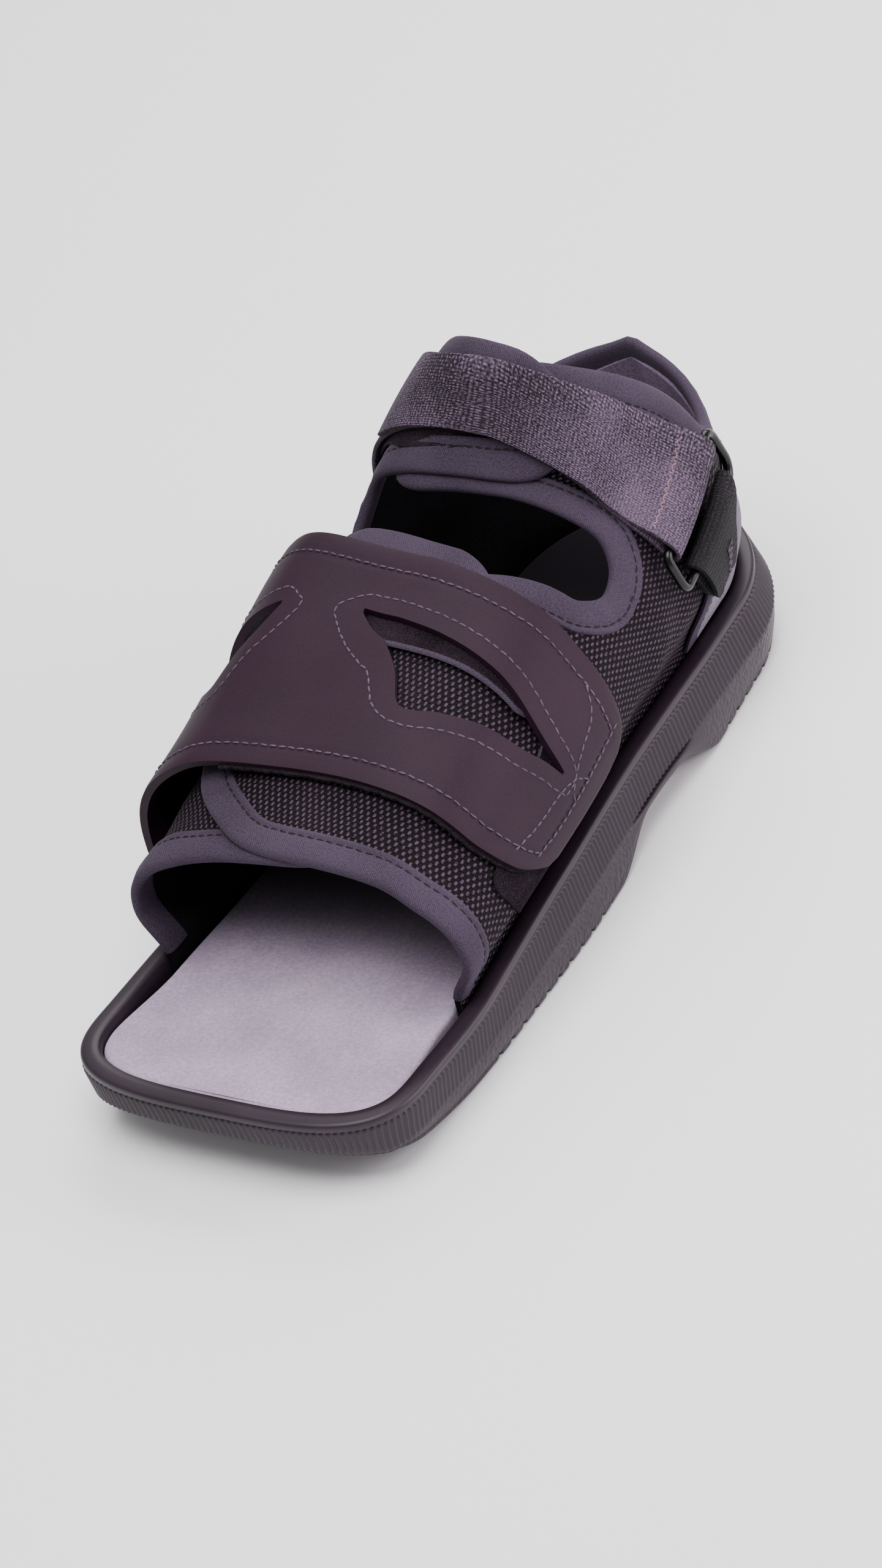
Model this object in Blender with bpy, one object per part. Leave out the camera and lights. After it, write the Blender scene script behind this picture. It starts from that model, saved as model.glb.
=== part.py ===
"""Post operative shoe: rocker cup sole, open toe fabric upper, forefoot strap and ankle strap.

Metres, +Z up. The toe points along -Y, the heel along +Y, and the near side of the shoe is +X.
The origin is on the floor under the middle of the shoe.
"""
import math

import bmesh
import bpy
import numpy as np
from mathutils import Matrix, Vector

# Sole
LENGTH = 0.290            # heel to toe, over the rim of the sole
BALL_WIDTH = 0.113        # across the rim at the ball
HEEL_RADIUS = 0.0445      # round end of the sole in plan
TOE_ROUND = 0.032         # length of the rounded square toe
TOE_SQUARE = 0.30         # exponent of the toe's outline; lower is squarer
RIM_HEIGHT = 0.0265       # top of the rim above the floor at the ball
RIM_WIDTH = 0.0060        # flat top of the rim
RIM_SHOULDER = 0.0008     # rounding of the rim's outer edge
TOE_SPRING = 0.0140       # rise of the tread at the toe
TOE_SPRING_START = 0.207  # share of the length where the toe spring starts
ARCH_RISE = 0.0100        # rise of the tread at the arch
ARCH_SPAN = (0.50, 0.59, 0.66, 0.745)  # shares of the length: front slope, then rear slope
HEEL_ROCKER = 0.0030      # rise of the tread at the back of the heel
HEEL_ROCKER_START = 0.93  # share of the length where it starts
TREAD_EDGE = 0.0015       # chamfer round the tread
RIB_DEPTH = 0.0009        # ribs stand this far out of the side
RIB_BAND = 0.0120         # height of the ribbed band
RIB_DROP = 0.0030         # from the rim's top down to the ribs
GROOVE_WIDTH = 0.0020     # cross grooves of the tread
GROOVE_DEPTH = 0.0015
GROOVE_PITCH = 0.0070
INSOLE_THICKNESS = 0.0050
INSOLE_DROP = 0.0020      # insole's top below the rim's top
INSOLE_ROUND = 0.0010     # rounded upper edge of the insole

# Upper
CREST_HEIGHT = 0.0950    # crest of the upper over the instep
HEEL_HEIGHT = 0.0920      # collar above the floor at the back of the heel
WALL = 0.0020             # fabric, foam and lining together
BINDING_STEP = 0.0006     # bound edges are this much thicker
BINDING_WIDTH = 0.0110
GAP = 0.0003              # between pieces that lie on each other
PLAY = 0.0006             # under a strap or panel that bends otherwise than what it lies on

# Overlays, straps and ring
PILE = 0.0012             # loop panel on the forefoot
PANEL = 0.0010            # panels and binding strips of the quarter
STRIP_WIDTH = 0.0070      # upright binding strip
STRAP_THICKNESS = 0.0025  # forefoot strap, smooth face on foam
STRAP_BULGE = 0.0040      # how far the strap stands off the far side
WEBBING = 0.0014          # ankle strap and ring tab
RING_BAR = 0.0030         # diameter of the ring's bar
RING_DEPTH = 0.0095       # between the centres of the ring's two long bars
RING_SIDE = 0.0030        # from the webbing's edge to the centre of the ring's short bar
RING_CORNER = 0.0025      # bend of the ring's corners
RING_PLAY = 0.0004        # between the bar and the webbing round it
BAR_RAMP = 0.22           # webbing comes down from the bar over this distance over the foot
STRAP_END = 1.45          # place over the foot where the strap's turned back end stops
STRAP_ACROSS = 3          # faces across the ankle strap
TAB_ACROSS = 4            # faces across the ring tab

SEGMENTS = 84             # points round a smooth ring of the sole
RIBS_PER_SEGMENT = 4
OUTLINE_STEPS = 120       # points along each stretch of the sole's outline
FRONT_FLAP_ROWS = 8
ANKLE_FLAP_ROWS = 7

# Each section of the side: where along the length, then the shape of the sole's side there.
# rim: rim height, in RIM_HEIGHTs. foot: how far the lower edge stands out of the rim,
# and belly: how far the side stands out at the foot of the ribs, in BALL_WIDTHs.
SIDE_COLUMNS = ("along", "rim", "foot", "belly")
SIDE_SECTIONS = (
    (0.00, 1.02, -0.040, -0.010),
    (0.08, 0.98, -0.040, -0.018),
    (0.20, 0.925, -0.030, -0.016),
    (0.28, 0.94, -0.008, -0.004),
    (0.40, 0.99, 0.018, 0.010),
    (0.50, 1.03, 0.023, 0.014),
    (0.62, 1.06, 0.022, 0.012),
    (0.70, 1.07, 0.028, 0.018),
    (0.80, 1.07, 0.016, 0.024),
    (0.90, 1.11, 0.006, 0.030),
    (1.00, 1.24, 0.006, 0.030),
)
# Stretches of the tread that have cross grooves, in shares of the length.
GROOVED_SPANS = ((0.235, 0.470), (0.765, 0.905))
# Half width of the rim between toe and heel, in half BALL_WIDTHs.
RIM_COLUMNS = ("along", "half")
RIM_OUTLINE = (
    (0.11, 1.000),
    (0.21, 1.000),
    (0.29, 0.965),
    (0.37, 0.930),
    (0.45, 0.902),
    (0.53, 0.868),
    (0.60, 0.843),
    (0.68, 0.828),
    (0.76, 0.812),
    (0.847, 0.788),
)
# Each section of the upper rises from the sole at along. swell: how far it stands out of its base,
# in BALL_WIDTHs. waist: height of its widest place, and crest: height of its crest, in
# CREST_HEIGHTs. crest_along: where its crest lies. fullness: exponent of the curve between them.
# The empty upper leans to the far side, which is wider and fuller.
UPPER_COLUMNS = (
    "along", "swell", "far_swell", "waist", "crest_along", "crest", "fullness", "far_fullness")
UPPER_SECTIONS = (
    (0.200, 0.060, 0.062, 0.440, 0.196, 0.710, 2.25, 2.30),
    (0.310, 0.074, 0.084, 0.440, 0.303, 0.768, 2.25, 2.70),
    (0.448, 0.086, 0.106, 0.460, 0.441, 0.874, 2.20, 2.90),
    (0.569, 0.088, 0.134, 0.490, 0.562, 0.947, 2.20, 3.40),
    (0.655, 0.084, 0.146, 0.510, 0.645, 0.990, 2.20, 3.20),
    (0.707, 0.080, 0.146, 0.526, 0.690, 1.035, 2.20, 3.30),
    (0.759, 0.074, 0.140, 0.530, 0.717, 1.100, 2.25, 3.20),
    (0.828, 0.060, 0.108, 0.530, 0.752, 1.240, 2.40, 2.90),
    (0.885, 0.042, 0.064, 0.530, 0.786, 1.370, 2.70, 2.60),
    (0.940, 0.036, 0.044, 0.520, 0.880, 1.470, 2.80, 2.60),
    (1.000, 0.040, 0.040, 0.500, 0.970, 1.560, 2.60, 2.60),
)
# Top edge of the wall between the flaps and round the collar, in HEEL_HEIGHTs.
EDGE_COLUMNS = ("along", "height")
EDGE_HEIGHTS = (
    (0.200, 0.62),
    (0.300, 0.68),
    (0.610, 0.86),
    (0.645, 0.81),
    (0.680, 0.84),
    (0.790, 0.88),
    (0.885, 0.88),
    (0.940, 0.93),
    (1.000, 1.00),
)
# Flap edges. over: how far over the foot, 0 at the widest place, 1 at the crest, and up to 2 on
# the other side. front and back: where the flap's two edges spring from along the sole.
FLAP_COLUMNS = ("over", "front", "back")
NEAR_FRONT_FLAP = (
    (0.40, 0.214, 0.614),
    (0.70, 0.214, 0.600),
    (1.00, 0.214, 0.570),
    (1.12, 0.221, 0.560),
    (1.26, 0.252, 0.552),
    (1.38, 0.282, 0.540),
    (1.48, 0.320, 0.520),
    (1.56, 0.370, 0.490),
)
FAR_FRONT_FLAP = (
    (0.40, 0.200, 0.614),
    (0.60, 0.203, 0.638),
    (0.80, 0.208, 0.635),
    (1.00, 0.214, 0.622),
    (1.15, 0.230, 0.600),
    (1.26, 0.290, 0.560),
)
NEAR_ANKLE_FLAP = (
    (0.25, 0.683, 0.885),
    (0.45, 0.703, 0.882),
    (0.70, 0.705, 0.878),
    (1.00, 0.705, 0.874),
    (1.20, 0.698, 0.855),
    (1.31, 0.712, 0.820),
)
FAR_ANKLE_FLAP = (
    (0.25, 0.683, 0.885),
    (0.45, 0.710, 0.885),
    (0.70, 0.718, 0.885),
    (1.00, 0.724, 0.885),
    (1.14, 0.734, 0.872),
    (1.24, 0.770, 0.850),
)

# The same columns for what lies on the upper: the loop panel, the straps and the panels behind.
LOOP_PANEL = (
    (-0.20, 0.318, 0.500),
    (0.00, 0.302, 0.520),
    (0.17, 0.294, 0.535),
    (0.24, 0.330, 0.545),
    (0.32, 0.452, 0.548),
    (0.50, 0.460, 0.550),
    (0.72, 0.472, 0.550),
    (1.00, 0.476, 0.545),
    (1.20, 0.480, 0.535),
)
FOREFOOT_STRAP = (
    (-0.03, 0.385, 0.500),
    (0.00, 0.365, 0.535),
    (0.05, 0.345, 0.553),
    (0.14, 0.322, 0.559),
    (0.30, 0.307, 0.563),
    (0.50, 0.305, 0.567),
    (0.70, 0.310, 0.573),
    (0.95, 0.312, 0.582),
    (1.13, 0.309, 0.590),
    (1.40, 0.300, 0.598),
    (1.70, 0.290, 0.602),
    (2.00, 0.286, 0.602),
    (2.56, 0.286, 0.602),
)
# Fin shaped window of the forefoot strap on the near side.
# The far one mirrors it about WINDOW_MIDDLE.
STRAP_WINDOW = (
    (0.193, 0.440, 0.444),
    (0.303, 0.433, 0.450),
    (0.406, 0.425, 0.460),
    (0.581, 0.418, 0.477),
    (0.711, 0.412, 0.488),
    (0.854, 0.407, 0.497),
    (0.919, 0.443, 0.500),
    (1.000, 0.476, 0.504),
    (1.054, 0.503, 0.508),
)
WINDOW_MIDDLE = 1.20
ANKLE_STRAP = (
    (0.26, 0.737, 0.862),
    (0.42, 0.734, 0.856),
    (0.56, 0.738, 0.856),
    (0.70, 0.754, 0.860),
    (0.88, 0.778, 0.869),
    (1.03, 0.792, 0.874),
    (1.21, 0.786, 0.868),
    (1.50, 0.765, 0.860),
    (1.80, 0.755, 0.856),
    (2.10, 0.760, 0.862),
)
RING_TAB = (
    (-0.13, 0.790, 0.800),
    (-0.06, 0.781, 0.816),
    (0.03, 0.768, 0.838),
    (0.12, 0.754, 0.858),
    (0.20, 0.742, 0.862),
)
# Upright strip of the quarter: its middle, and the panels between it and the heel.
STRIP_COLUMNS = ("over", "middle")
STRIP_PLACE = ((-0.52, 0.772), (-0.35, 0.785), (0.04, 0.815), (0.16, 0.868))
STRIP_TOP = 0.07          # place over where the strip and the panels end, below the collar's binding
HEEL_PANEL_END = 0.930


def column(table, names, name, along):
    """Smooth value of one named column of a table at a place along it."""
    keys = [row[0] for row in table]
    values = [row[names.index(name)] for row in table]
    if along <= keys[0]:
        return values[0]
    if along >= keys[-1]:
        return values[-1]
    k = max(i for i, key in enumerate(keys) if key <= along)
    slopes = []
    for i in (k, k + 1):
        before, after = max(i - 1, 0), min(i + 1, len(keys) - 1)
        slopes.append((values[after] - values[before]) / (keys[after] - keys[before]))
    span = keys[k + 1] - keys[k]
    t = (along - keys[k]) / span
    return (values[k] * (1 + 2 * t) * (1 - t) ** 2 + slopes[0] * span * t * (1 - t) ** 2
            + values[k + 1] * t * t * (3 - 2 * t) + slopes[1] * span * t * t * (t - 1))


def ramp(start, end, value):
    """Smooth step from 0 at start to 1 at end."""
    t = min(max((value - start) / (end - start), 0.0), 1.0)
    return t * t * (3 - 2 * t)


def side_at(name, along):
    return column(SIDE_SECTIONS, SIDE_COLUMNS, name, along)


def upper_at(name, along):
    return column(UPPER_SECTIONS, UPPER_COLUMNS, name, along)


# Plan of the sole: the +X half of the rim, from the middle of the toe round to the middle of the heel
def plan_half():
    """Dense points (x, distance from the toe) of the rim's outline."""
    half = BALL_WIDTH / 2
    points = []
    for k in range(OUTLINE_STEPS + 1):
        s = TOE_ROUND * (k / OUTLINE_STEPS) ** 3
        points.append((half * (1 - (1 - s / TOE_ROUND) ** 3) ** TOE_SQUARE, s))
    heel_centre = LENGTH - HEEL_RADIUS
    for k in range(1, OUTLINE_STEPS):
        s = TOE_ROUND + (heel_centre - TOE_ROUND) * k / OUTLINE_STEPS
        points.append((half * column(RIM_OUTLINE, RIM_COLUMNS, "half", s / LENGTH), s))
    for k in range(OUTLINE_STEPS + 1):
        angle = math.pi / 2 * k / OUTLINE_STEPS
        points.append((HEEL_RADIUS * math.cos(angle), heel_centre + HEEL_RADIUS * math.sin(angle)))
    return np.array(points)


PLAN = plan_half()
PLAN_REACH = np.concatenate(([0.0], np.cumsum(np.hypot(*np.diff(PLAN, axis=0).T))))
HALF_GIRTH = PLAN_REACH[-1]


def plan_point(reach):
    """Rim point and its outward direction, at a distance along the rim from the middle of the toe."""
    def at(r):
        return np.array([np.interp(r, PLAN_REACH, PLAN[:, 0]), np.interp(r, PLAN_REACH, PLAN[:, 1])])
    step = 0.003
    low, high = reach - step, reach + step
    before = at(max(low, 0.0)) if low >= 0 else at(-low) * (-1, 1)
    after = at(high) if high <= HALF_GIRTH else at(2 * HALF_GIRTH - high) * (-1, 1)
    run = (after - before) / np.linalg.norm(after - before)
    return at(reach), np.array([run[1], -run[0]])


def station(along):
    """Distance along the rim of the place that is this share of the length from the toe."""
    return float(np.interp(along * LENGTH, PLAN[:, 1], PLAN_REACH))


def world(x, s, z):
    return Vector((x, s - LENGTH / 2, z))


def rim_height(along):
    return RIM_HEIGHT * side_at("rim", along)


def tread_height(along):
    toe = TOE_SPRING * max(0.0, 1.0 - along / TOE_SPRING_START) ** 2
    front_start, front_end, rear_start, rear_end = ARCH_SPAN
    arch = ARCH_RISE * ramp(front_start, front_end, along) * (1 - ramp(rear_start, rear_end, along))
    return toe + arch + HEEL_ROCKER * ramp(HEEL_ROCKER_START, 1.0, along) ** 2


def cup_height(along):
    """Floor of the cup, under the insole."""
    return rim_height(along) - INSOLE_DROP - INSOLE_THICKNESS - GAP


# Mesh helpers
def make_material(name, colour, roughness, metallic=0.0):
    material = bpy.data.materials.new(name)
    material.use_nodes = True
    shader = material.node_tree.nodes["Principled BSDF"]
    shader.inputs["Base Color"].default_value = (*colour, 1.0)
    shader.inputs["Roughness"].default_value = roughness
    shader.inputs["Metallic"].default_value = metallic
    return material


def make_object(name, mesh_builder, material, smooth_angle=math.radians(35)):
    """Object of one bmesh, with its faces turned out."""
    mesh = bpy.data.meshes.new(name)
    bmesh.ops.recalc_face_normals(mesh_builder, faces=mesh_builder.faces)
    mesh_builder.to_mesh(mesh)
    mesh_builder.free()
    obj = bpy.data.objects.new(name, mesh)
    bpy.context.scene.collection.objects.link(obj)
    mesh.materials.append(material)
    mesh.shade_smooth()
    mesh.set_sharp_from_angle(angle=smooth_angle)
    return obj


def ring_places(count):
    """Side (+1 or -1) and distance along the rim of each point of a closed ring, from the toe."""
    places = []
    for k in range(count):
        share = k / count
        if share <= 0.5:
            places.append((1, 2 * share * HALF_GIRTH))
        else:
            places.append((-1, 2 * (1 - share) * HALF_GIRTH))
    return places


def add_ring(builder, count, out, height):
    """Ring of vertices; out and height are functions of the share of the length (and the index)."""
    ring = []
    for k, (side, reach) in enumerate(ring_places(count)):
        point, outward = plan_point(reach)
        along = point[1] / LENGTH
        x, s = point + outward * out(along, k)
        ring.append(builder.verts.new(world(side * x, s, height(along))))
    return ring


def bridge(builder, low, high):
    """Faces between two rings of as many points."""
    for k in range(len(low)):
        n = (k + 1) % len(low)
        builder.faces.new((low[k], low[n], high[n], high[k]))


def bridge_fan(builder, coarse, fine):
    """Triangles between a coarse ring and a ring with a whole multiple of its points."""
    times = len(fine) // len(coarse)
    for k in range(len(coarse)):
        n = (k + 1) % len(coarse)
        half = times // 2
        for j in range(times):
            a, b = fine[k * times + j], fine[(k * times + j + 1) % len(fine)]
            builder.faces.new((coarse[k] if j < half else coarse[n], a, b))
        builder.faces.new((coarse[k], fine[k * times + half], coarse[n]))


def cap_across(builder, ring):
    """Strips that join each point of a ring to its mirror image."""
    count = len(ring)
    half = count // 2
    for k in range(half):
        corners = [ring[k], ring[k + 1], ring[(count - k - 1) % count], ring[(count - k) % count]]
        unique = list(dict.fromkeys(corners))
        builder.faces.new(unique)


# Outsole
def band_foot(along):
    """Height of the foot of the ribbed band, just over the tread's edge where the sole is thin."""
    return max(rim_height(along) - RIB_DROP - RIB_BAND, tread_height(along) + 1.6 * TREAD_EDGE)


def build_outsole(material):
    builder = bmesh.new()
    fine = SEGMENTS * RIBS_PER_SEGMENT * 2

    def foot_out(along, _k):
        return BALL_WIDTH * side_at("foot", along)

    def belly_out(along, _k):
        return BALL_WIDTH * side_at("belly", along)

    def rib_foot(along, k):
        return belly_out(along, k) + (RIB_DEPTH if k % 2 == 0 else 0.0)

    def rib_head(_along, k):
        return RIB_DEPTH if k % 2 == 0 else 0.0

    tread = add_ring(builder, SEGMENTS, lambda a, k: foot_out(a, k) - TREAD_EDGE, tread_height)
    foot = add_ring(builder, SEGMENTS, foot_out, lambda a: tread_height(a) + TREAD_EDGE)
    belly = add_ring(builder, SEGMENTS, belly_out, lambda a: band_foot(a) - 0.3 * TREAD_EDGE)
    rib_low = add_ring(builder, fine, rib_foot, band_foot)
    rib_high = add_ring(builder, fine, rib_head, lambda a: rim_height(a) - RIB_DROP)
    neck = add_ring(builder, SEGMENTS, lambda a, k: 0.0, lambda a: rim_height(a) - RIB_DROP * 0.75)
    shoulder = add_ring(builder, SEGMENTS, lambda a, k: 0.0, lambda a: rim_height(a) - RIM_SHOULDER)
    top_out = add_ring(builder, SEGMENTS, lambda a, k: -RIM_SHOULDER, rim_height)
    top_in = add_ring(builder, SEGMENTS, lambda a, k: -RIM_WIDTH, rim_height)
    floor = add_ring(builder, SEGMENTS, lambda a, k: -RIM_WIDTH, cup_height)
    cap_across(builder, tread)
    bridge(builder, tread, foot)
    bridge(builder, foot, belly)
    bridge_fan(builder, belly, rib_low)
    bridge(builder, rib_low, rib_high)
    bridge_fan(builder, neck, rib_high)
    for low, high in ((neck, shoulder), (shoulder, top_out), (top_out, top_in), (top_in, floor)):
        bridge(builder, low, high)
    cap_across(builder, floor)
    sole = make_object("outsole", builder, material)
    cutter = groove_cutter(material)
    cut = sole.modifiers.new("grooves", "BOOLEAN")
    cut.operation = "DIFFERENCE"
    cut.solver = "EXACT"
    cut.object = cutter


def groove_cutter(material):
    """Bars that cut the cross grooves of the tread, at the forefoot and the heel."""
    builder = bmesh.new()
    for start, end in GROOVED_SPANS:
        count = int((end - start) * LENGTH / GROOVE_PITCH)
        for k in range(count + 1):
            s = start * LENGTH + k * GROOVE_PITCH
            bar = bmesh.ops.create_cube(builder, size=1.0)["verts"]
            bmesh.ops.scale(builder, vec=(BALL_WIDTH * 1.4, GROOVE_WIDTH, GROOVE_DEPTH * 2), verts=bar)
            bmesh.ops.translate(builder, vec=world(0.0, s, 0.0), verts=bar)
    cutter = make_object("groove_cutter", builder, material)
    cutter.hide_render = True
    cutter.display_type = "WIRE"
    return cutter


# Insole
def insole_inset(along):
    """The insole fills the cup at the open toe, and leaves room for the upper behind it."""
    room = WALL + BINDING_STEP + 3 * GAP
    opening = FAR_FRONT_FLAP[0][1]
    return RIM_WIDTH + GAP + room * ramp(opening - 0.030, opening - 0.008, along)


def build_insole(material):
    builder = bmesh.new()

    def top(along):
        return rim_height(along) - INSOLE_DROP

    base = add_ring(builder, SEGMENTS, lambda a, k: -insole_inset(a), lambda a: top(a) - INSOLE_THICKNESS)
    edge = add_ring(builder, SEGMENTS, lambda a, k: -insole_inset(a), lambda a: top(a) - INSOLE_ROUND)
    crown = add_ring(builder, SEGMENTS, lambda a, k: -insole_inset(a) - INSOLE_ROUND, top)
    cap_across(builder, base)
    bridge(builder, base, edge)
    bridge(builder, edge, crown)
    cap_across(builder, crown)
    return make_object("insole", builder, material)


# Surface of the upper
def upper_base_inset():
    """From the rim's outer edge in to the inner face of the upper, in the cup."""
    return RIM_WIDTH + GAP + WALL + BINDING_STEP


def upper_surface(side, along, over):
    """Inner face of the upper.

    along is the share of the length where the section rises from the sole. over is -1 at the
    cup's floor, 0 at the widest place, 1 at the crest and up to 2 on the other side.
    """
    if over > 1.0:
        return upper_surface(-side, along, 2.0 - over)
    far = "far_" if side < 0 else ""
    reach = along_to_reach(along)
    point, outward = plan_point(reach)
    base = point - outward * upper_base_inset()
    section = min(max(along, 0.0), 1.0)
    swell = BALL_WIDTH * upper_at(far + "swell", section)
    waist = CREST_HEIGHT * upper_at("waist", section)
    share = point[1] / LENGTH
    if over <= 0.0:
        low = cup_height(share) + GAP
        rim = rim_height(share) + GAP
        height = low + (waist - low) * (1.0 + over)
        lean = 0.5 - 0.5 * math.cos(math.pi * min(max((height - rim) / (waist - rim), 0.0), 1.0))
        x, s = base + outward * swell * lean
        return np.array([side * x, s, height])
    crest = CREST_HEIGHT * upper_at("crest", section)
    crest_along = upper_at("crest_along", section) * LENGTH
    power = 2.0 / upper_at(far + "fullness", section)
    angle = over * math.pi / 2
    widest = base + outward * swell
    x = widest[0] * max(math.cos(angle), 0.0) ** power
    height = waist + (crest - waist) * math.sin(angle) ** power
    s = widest[1] + (crest_along - widest[1]) * math.sin(angle) ** 2
    return np.array([side * x, s, height])


def along_to_reach(along):
    """Places past the start of the round heel are spread evenly round it."""
    turn = 1.0 - HEEL_RADIUS / LENGTH
    if along <= turn:
        return station(along)
    start = station(turn)
    return start + (HALF_GIRTH - start) * (along - turn) / (1.0 - turn)


def upper_normal(side, along, over):
    """Outward direction of the upper's surface."""
    d_along = 0.004
    d_over = 0.02
    if over > 1.0:
        return upper_normal(-side, along, 2.0 - over)
    low = max(along - d_along, 0.0)
    high = min(along + d_along, 1.0)
    along_run = upper_surface(side, high, over) - upper_surface(side, low, over)
    over_low = max(over - d_over, -1.0)
    over_run = upper_surface(side, along, over + d_over) - upper_surface(side, along, over_low)
    normal = np.cross(along_run, over_run) * side
    if along > 0.999:
        normal[0] = 0.0
    return normal / np.linalg.norm(normal)


def on_upper(side, along, over, lift):
    """Point at a height over the inner face of the upper."""
    x, s, z = upper_surface(side, along, over) + upper_normal(side, along, over) * lift
    return world(x, s, z)


def over_at_height(side, along, height):
    """Place on the side, between its widest place and its crest, that lies at this height."""
    waist = CREST_HEIGHT * upper_at("waist", along)
    crest = CREST_HEIGHT * upper_at("crest", along)
    power = 2.0 / upper_at("far_fullness" if side < 0 else "fullness", along)
    share = min(max((height - waist) / (crest - waist), 0.0), 1.0)
    return math.asin(share ** (1.0 / power)) * 2.0 / math.pi


def edge_over(side, along):
    """Top edge of the wall between the flaps and round the collar."""
    return over_at_height(side, along, HEEL_HEIGHT * column(EDGE_HEIGHTS, EDGE_COLUMNS, "height", along))


# The flap that lies on top is lifted clear of the bound edge of the one under it.
OVERLAP_LIFT = WALL + BINDING_STEP + GAP
PANEL_SEAT = WALL + PANEL + 2 * PLAY  # what lies on the panels of the quarter
FLAP_RISE = (0.42, 0.64)              # the lifted flap rises off the other between these places over
OVER_GIRTH = 0.70 * CREST_HEIGHT      # about as far as from the widest place to the crest


class Sheet:
    """A sheet of the upper: places on its surface with a lift and a wall, and the faces between them."""

    def __init__(self):
        self.places = []
        self.faces = []

    def add(self, side, along, over, lift, wall):
        self.places.append((side, along, over, lift, wall))
        return len(self.places) - 1

    def strip(self, low, high):
        for k in range(len(low) - 1):
            self.faces.append((low[k], low[k + 1], high[k + 1], high[k]))

    def solid(self, name, material):
        """Closed wall: inner and outer faces, joined round each free edge."""
        inner = [on_upper(side, along, over, lift) for side, along, over, lift, wall in self.places]
        outer = [on_upper(side, along, over, lift + wall) for side, along, over, lift, wall in self.places]
        return wall_between(name, inner, outer, self.faces, material)


def wall_between(name, inner, outer, faces, material):
    """Closed solid between two faces of a sheet that have the same layout."""
    builder = bmesh.new()
    low = [builder.verts.new(point) for point in inner]
    high = [builder.verts.new(point) for point in outer]
    edges = set()
    for face in faces:
        builder.faces.new([low[k] for k in face])
        builder.faces.new([high[k] for k in reversed(face)])
        edges.update(zip(face, face[1:] + face[:1]))
    for a, b in edges:
        if (b, a) not in edges:
            builder.faces.new((low[b], low[a], high[a], high[b]))
    return make_object(name, builder, material)


def band_on_upper(name, path, thickness, across, material):
    """Band that follows the upper.

    Each point of the path is (over, lift of the band's middle, front edge, back edge).
    """
    middle = [Vector((over * OVER_GIRTH, lift)) for over, lift, _front, _back in path]
    inner, outer, faces = [], [], []
    for k, (over, lift, front, back) in enumerate(path):
        run = (middle[min(k + 1, len(path) - 1)] - middle[max(k - 1, 0)]).normalized()
        normal = Vector((-run.y, run.x)) * thickness / 2
        for j in range(across + 1):
            along = front + (back - front) * j / across
            for points, sign in ((inner, -1), (outer, 1)):
                place = middle[k] + normal * sign
                points.append(on_upper(1, along, place.x / OVER_GIRTH, place.y))
    wide = across + 1
    for k in range(len(path) - 1):
        for j in range(across):
            a = k * wide + j
            faces.append((a, a + 1, a + wide + 1, a + wide))
    return wall_between(name, inner, outer, faces, material)


def edges_at(table, over):
    """Front and back edge of a table at a place over the foot."""
    return column(table, FLAP_COLUMNS, "front", over), column(table, FLAP_COLUMNS, "back", over)


def table_path(table, lift, count, reverse=False):
    """Even points along a table of edges, each with its lift."""
    overs = spread(table[0][0], table[-1][0], count)
    path = [(over, lift(over), *edges_at(table, over)) for over in overs]
    return path[::-1] if reverse else path


def spread(start, end, count):
    return [start + (end - start) * k / count for k in range(count + 1)]


def bound_spread(start, end, count, bind_start, bind_end):
    """Places between two edges, with a narrow step where the binding of an edge ends.

    Each place comes with whether it lies in a binding. The binding's width is given at each edge.
    """
    sharp = BINDING_STEP / LENGTH
    low = start + bind_start
    high = end - bind_end
    places = []
    if bind_start:
        places += [(start, True), (low - sharp, True)]
    places += [(value, False) for value in spread(low, high, count)]
    if bind_end:
        places += [(high + sharp, True), (end, True)]
    return places


def upper_columns(front_edge):
    """Columns of one side from the toe opening to the middle of the heel, with their bindings."""
    bind = BINDING_WIDTH / LENGTH
    back = NEAR_FRONT_FLAP[0][2]
    ankle_front, ankle_back = NEAR_ANKLE_FLAP[0][1], NEAR_ANKLE_FLAP[0][2]
    front = bound_spread(front_edge, back, 8, bind, bind)
    hole = [(value, False) for value in spread(back, ankle_front, 4)[1:-1]]
    ankle = bound_spread(ankle_front, ankle_back, 3, bind, bind)
    heel = [(value, False) for value in spread(ankle_back, 1.0, 8)[1:]]
    return front, hole, ankle, heel


BASE_ROWS = (-1.0, -0.78, -0.56, -0.34, -0.14, 0.03)


def band_rows(side, along):
    """Rows of the wall, from the cup to the top edge, with the step of the edge's binding."""
    top = edge_over(side, along)
    bind = BINDING_WIDTH / (CREST_HEIGHT * upper_at("crest", along) * 0.95)
    sharp = BINDING_STEP / CREST_HEIGHT
    low = max(top - bind, BASE_ROWS[-1] + 0.04)
    return list(BASE_ROWS) + [(BASE_ROWS[-1] + low) / 2, low, low + sharp, top]


def flap_rows(tip, count):
    """Rows of a flap as shares of the way from its root to its tip, and whether each is bound."""
    bind = BINDING_WIDTH / CREST_HEIGHT / tip
    sharp = BINDING_STEP / CREST_HEIGHT / tip
    rows = [(share, False) for share in spread(0.0, 1.0 - bind, count)[1:]]
    return rows + [(1.0 - bind + sharp, True), (1.0, True)]


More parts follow.
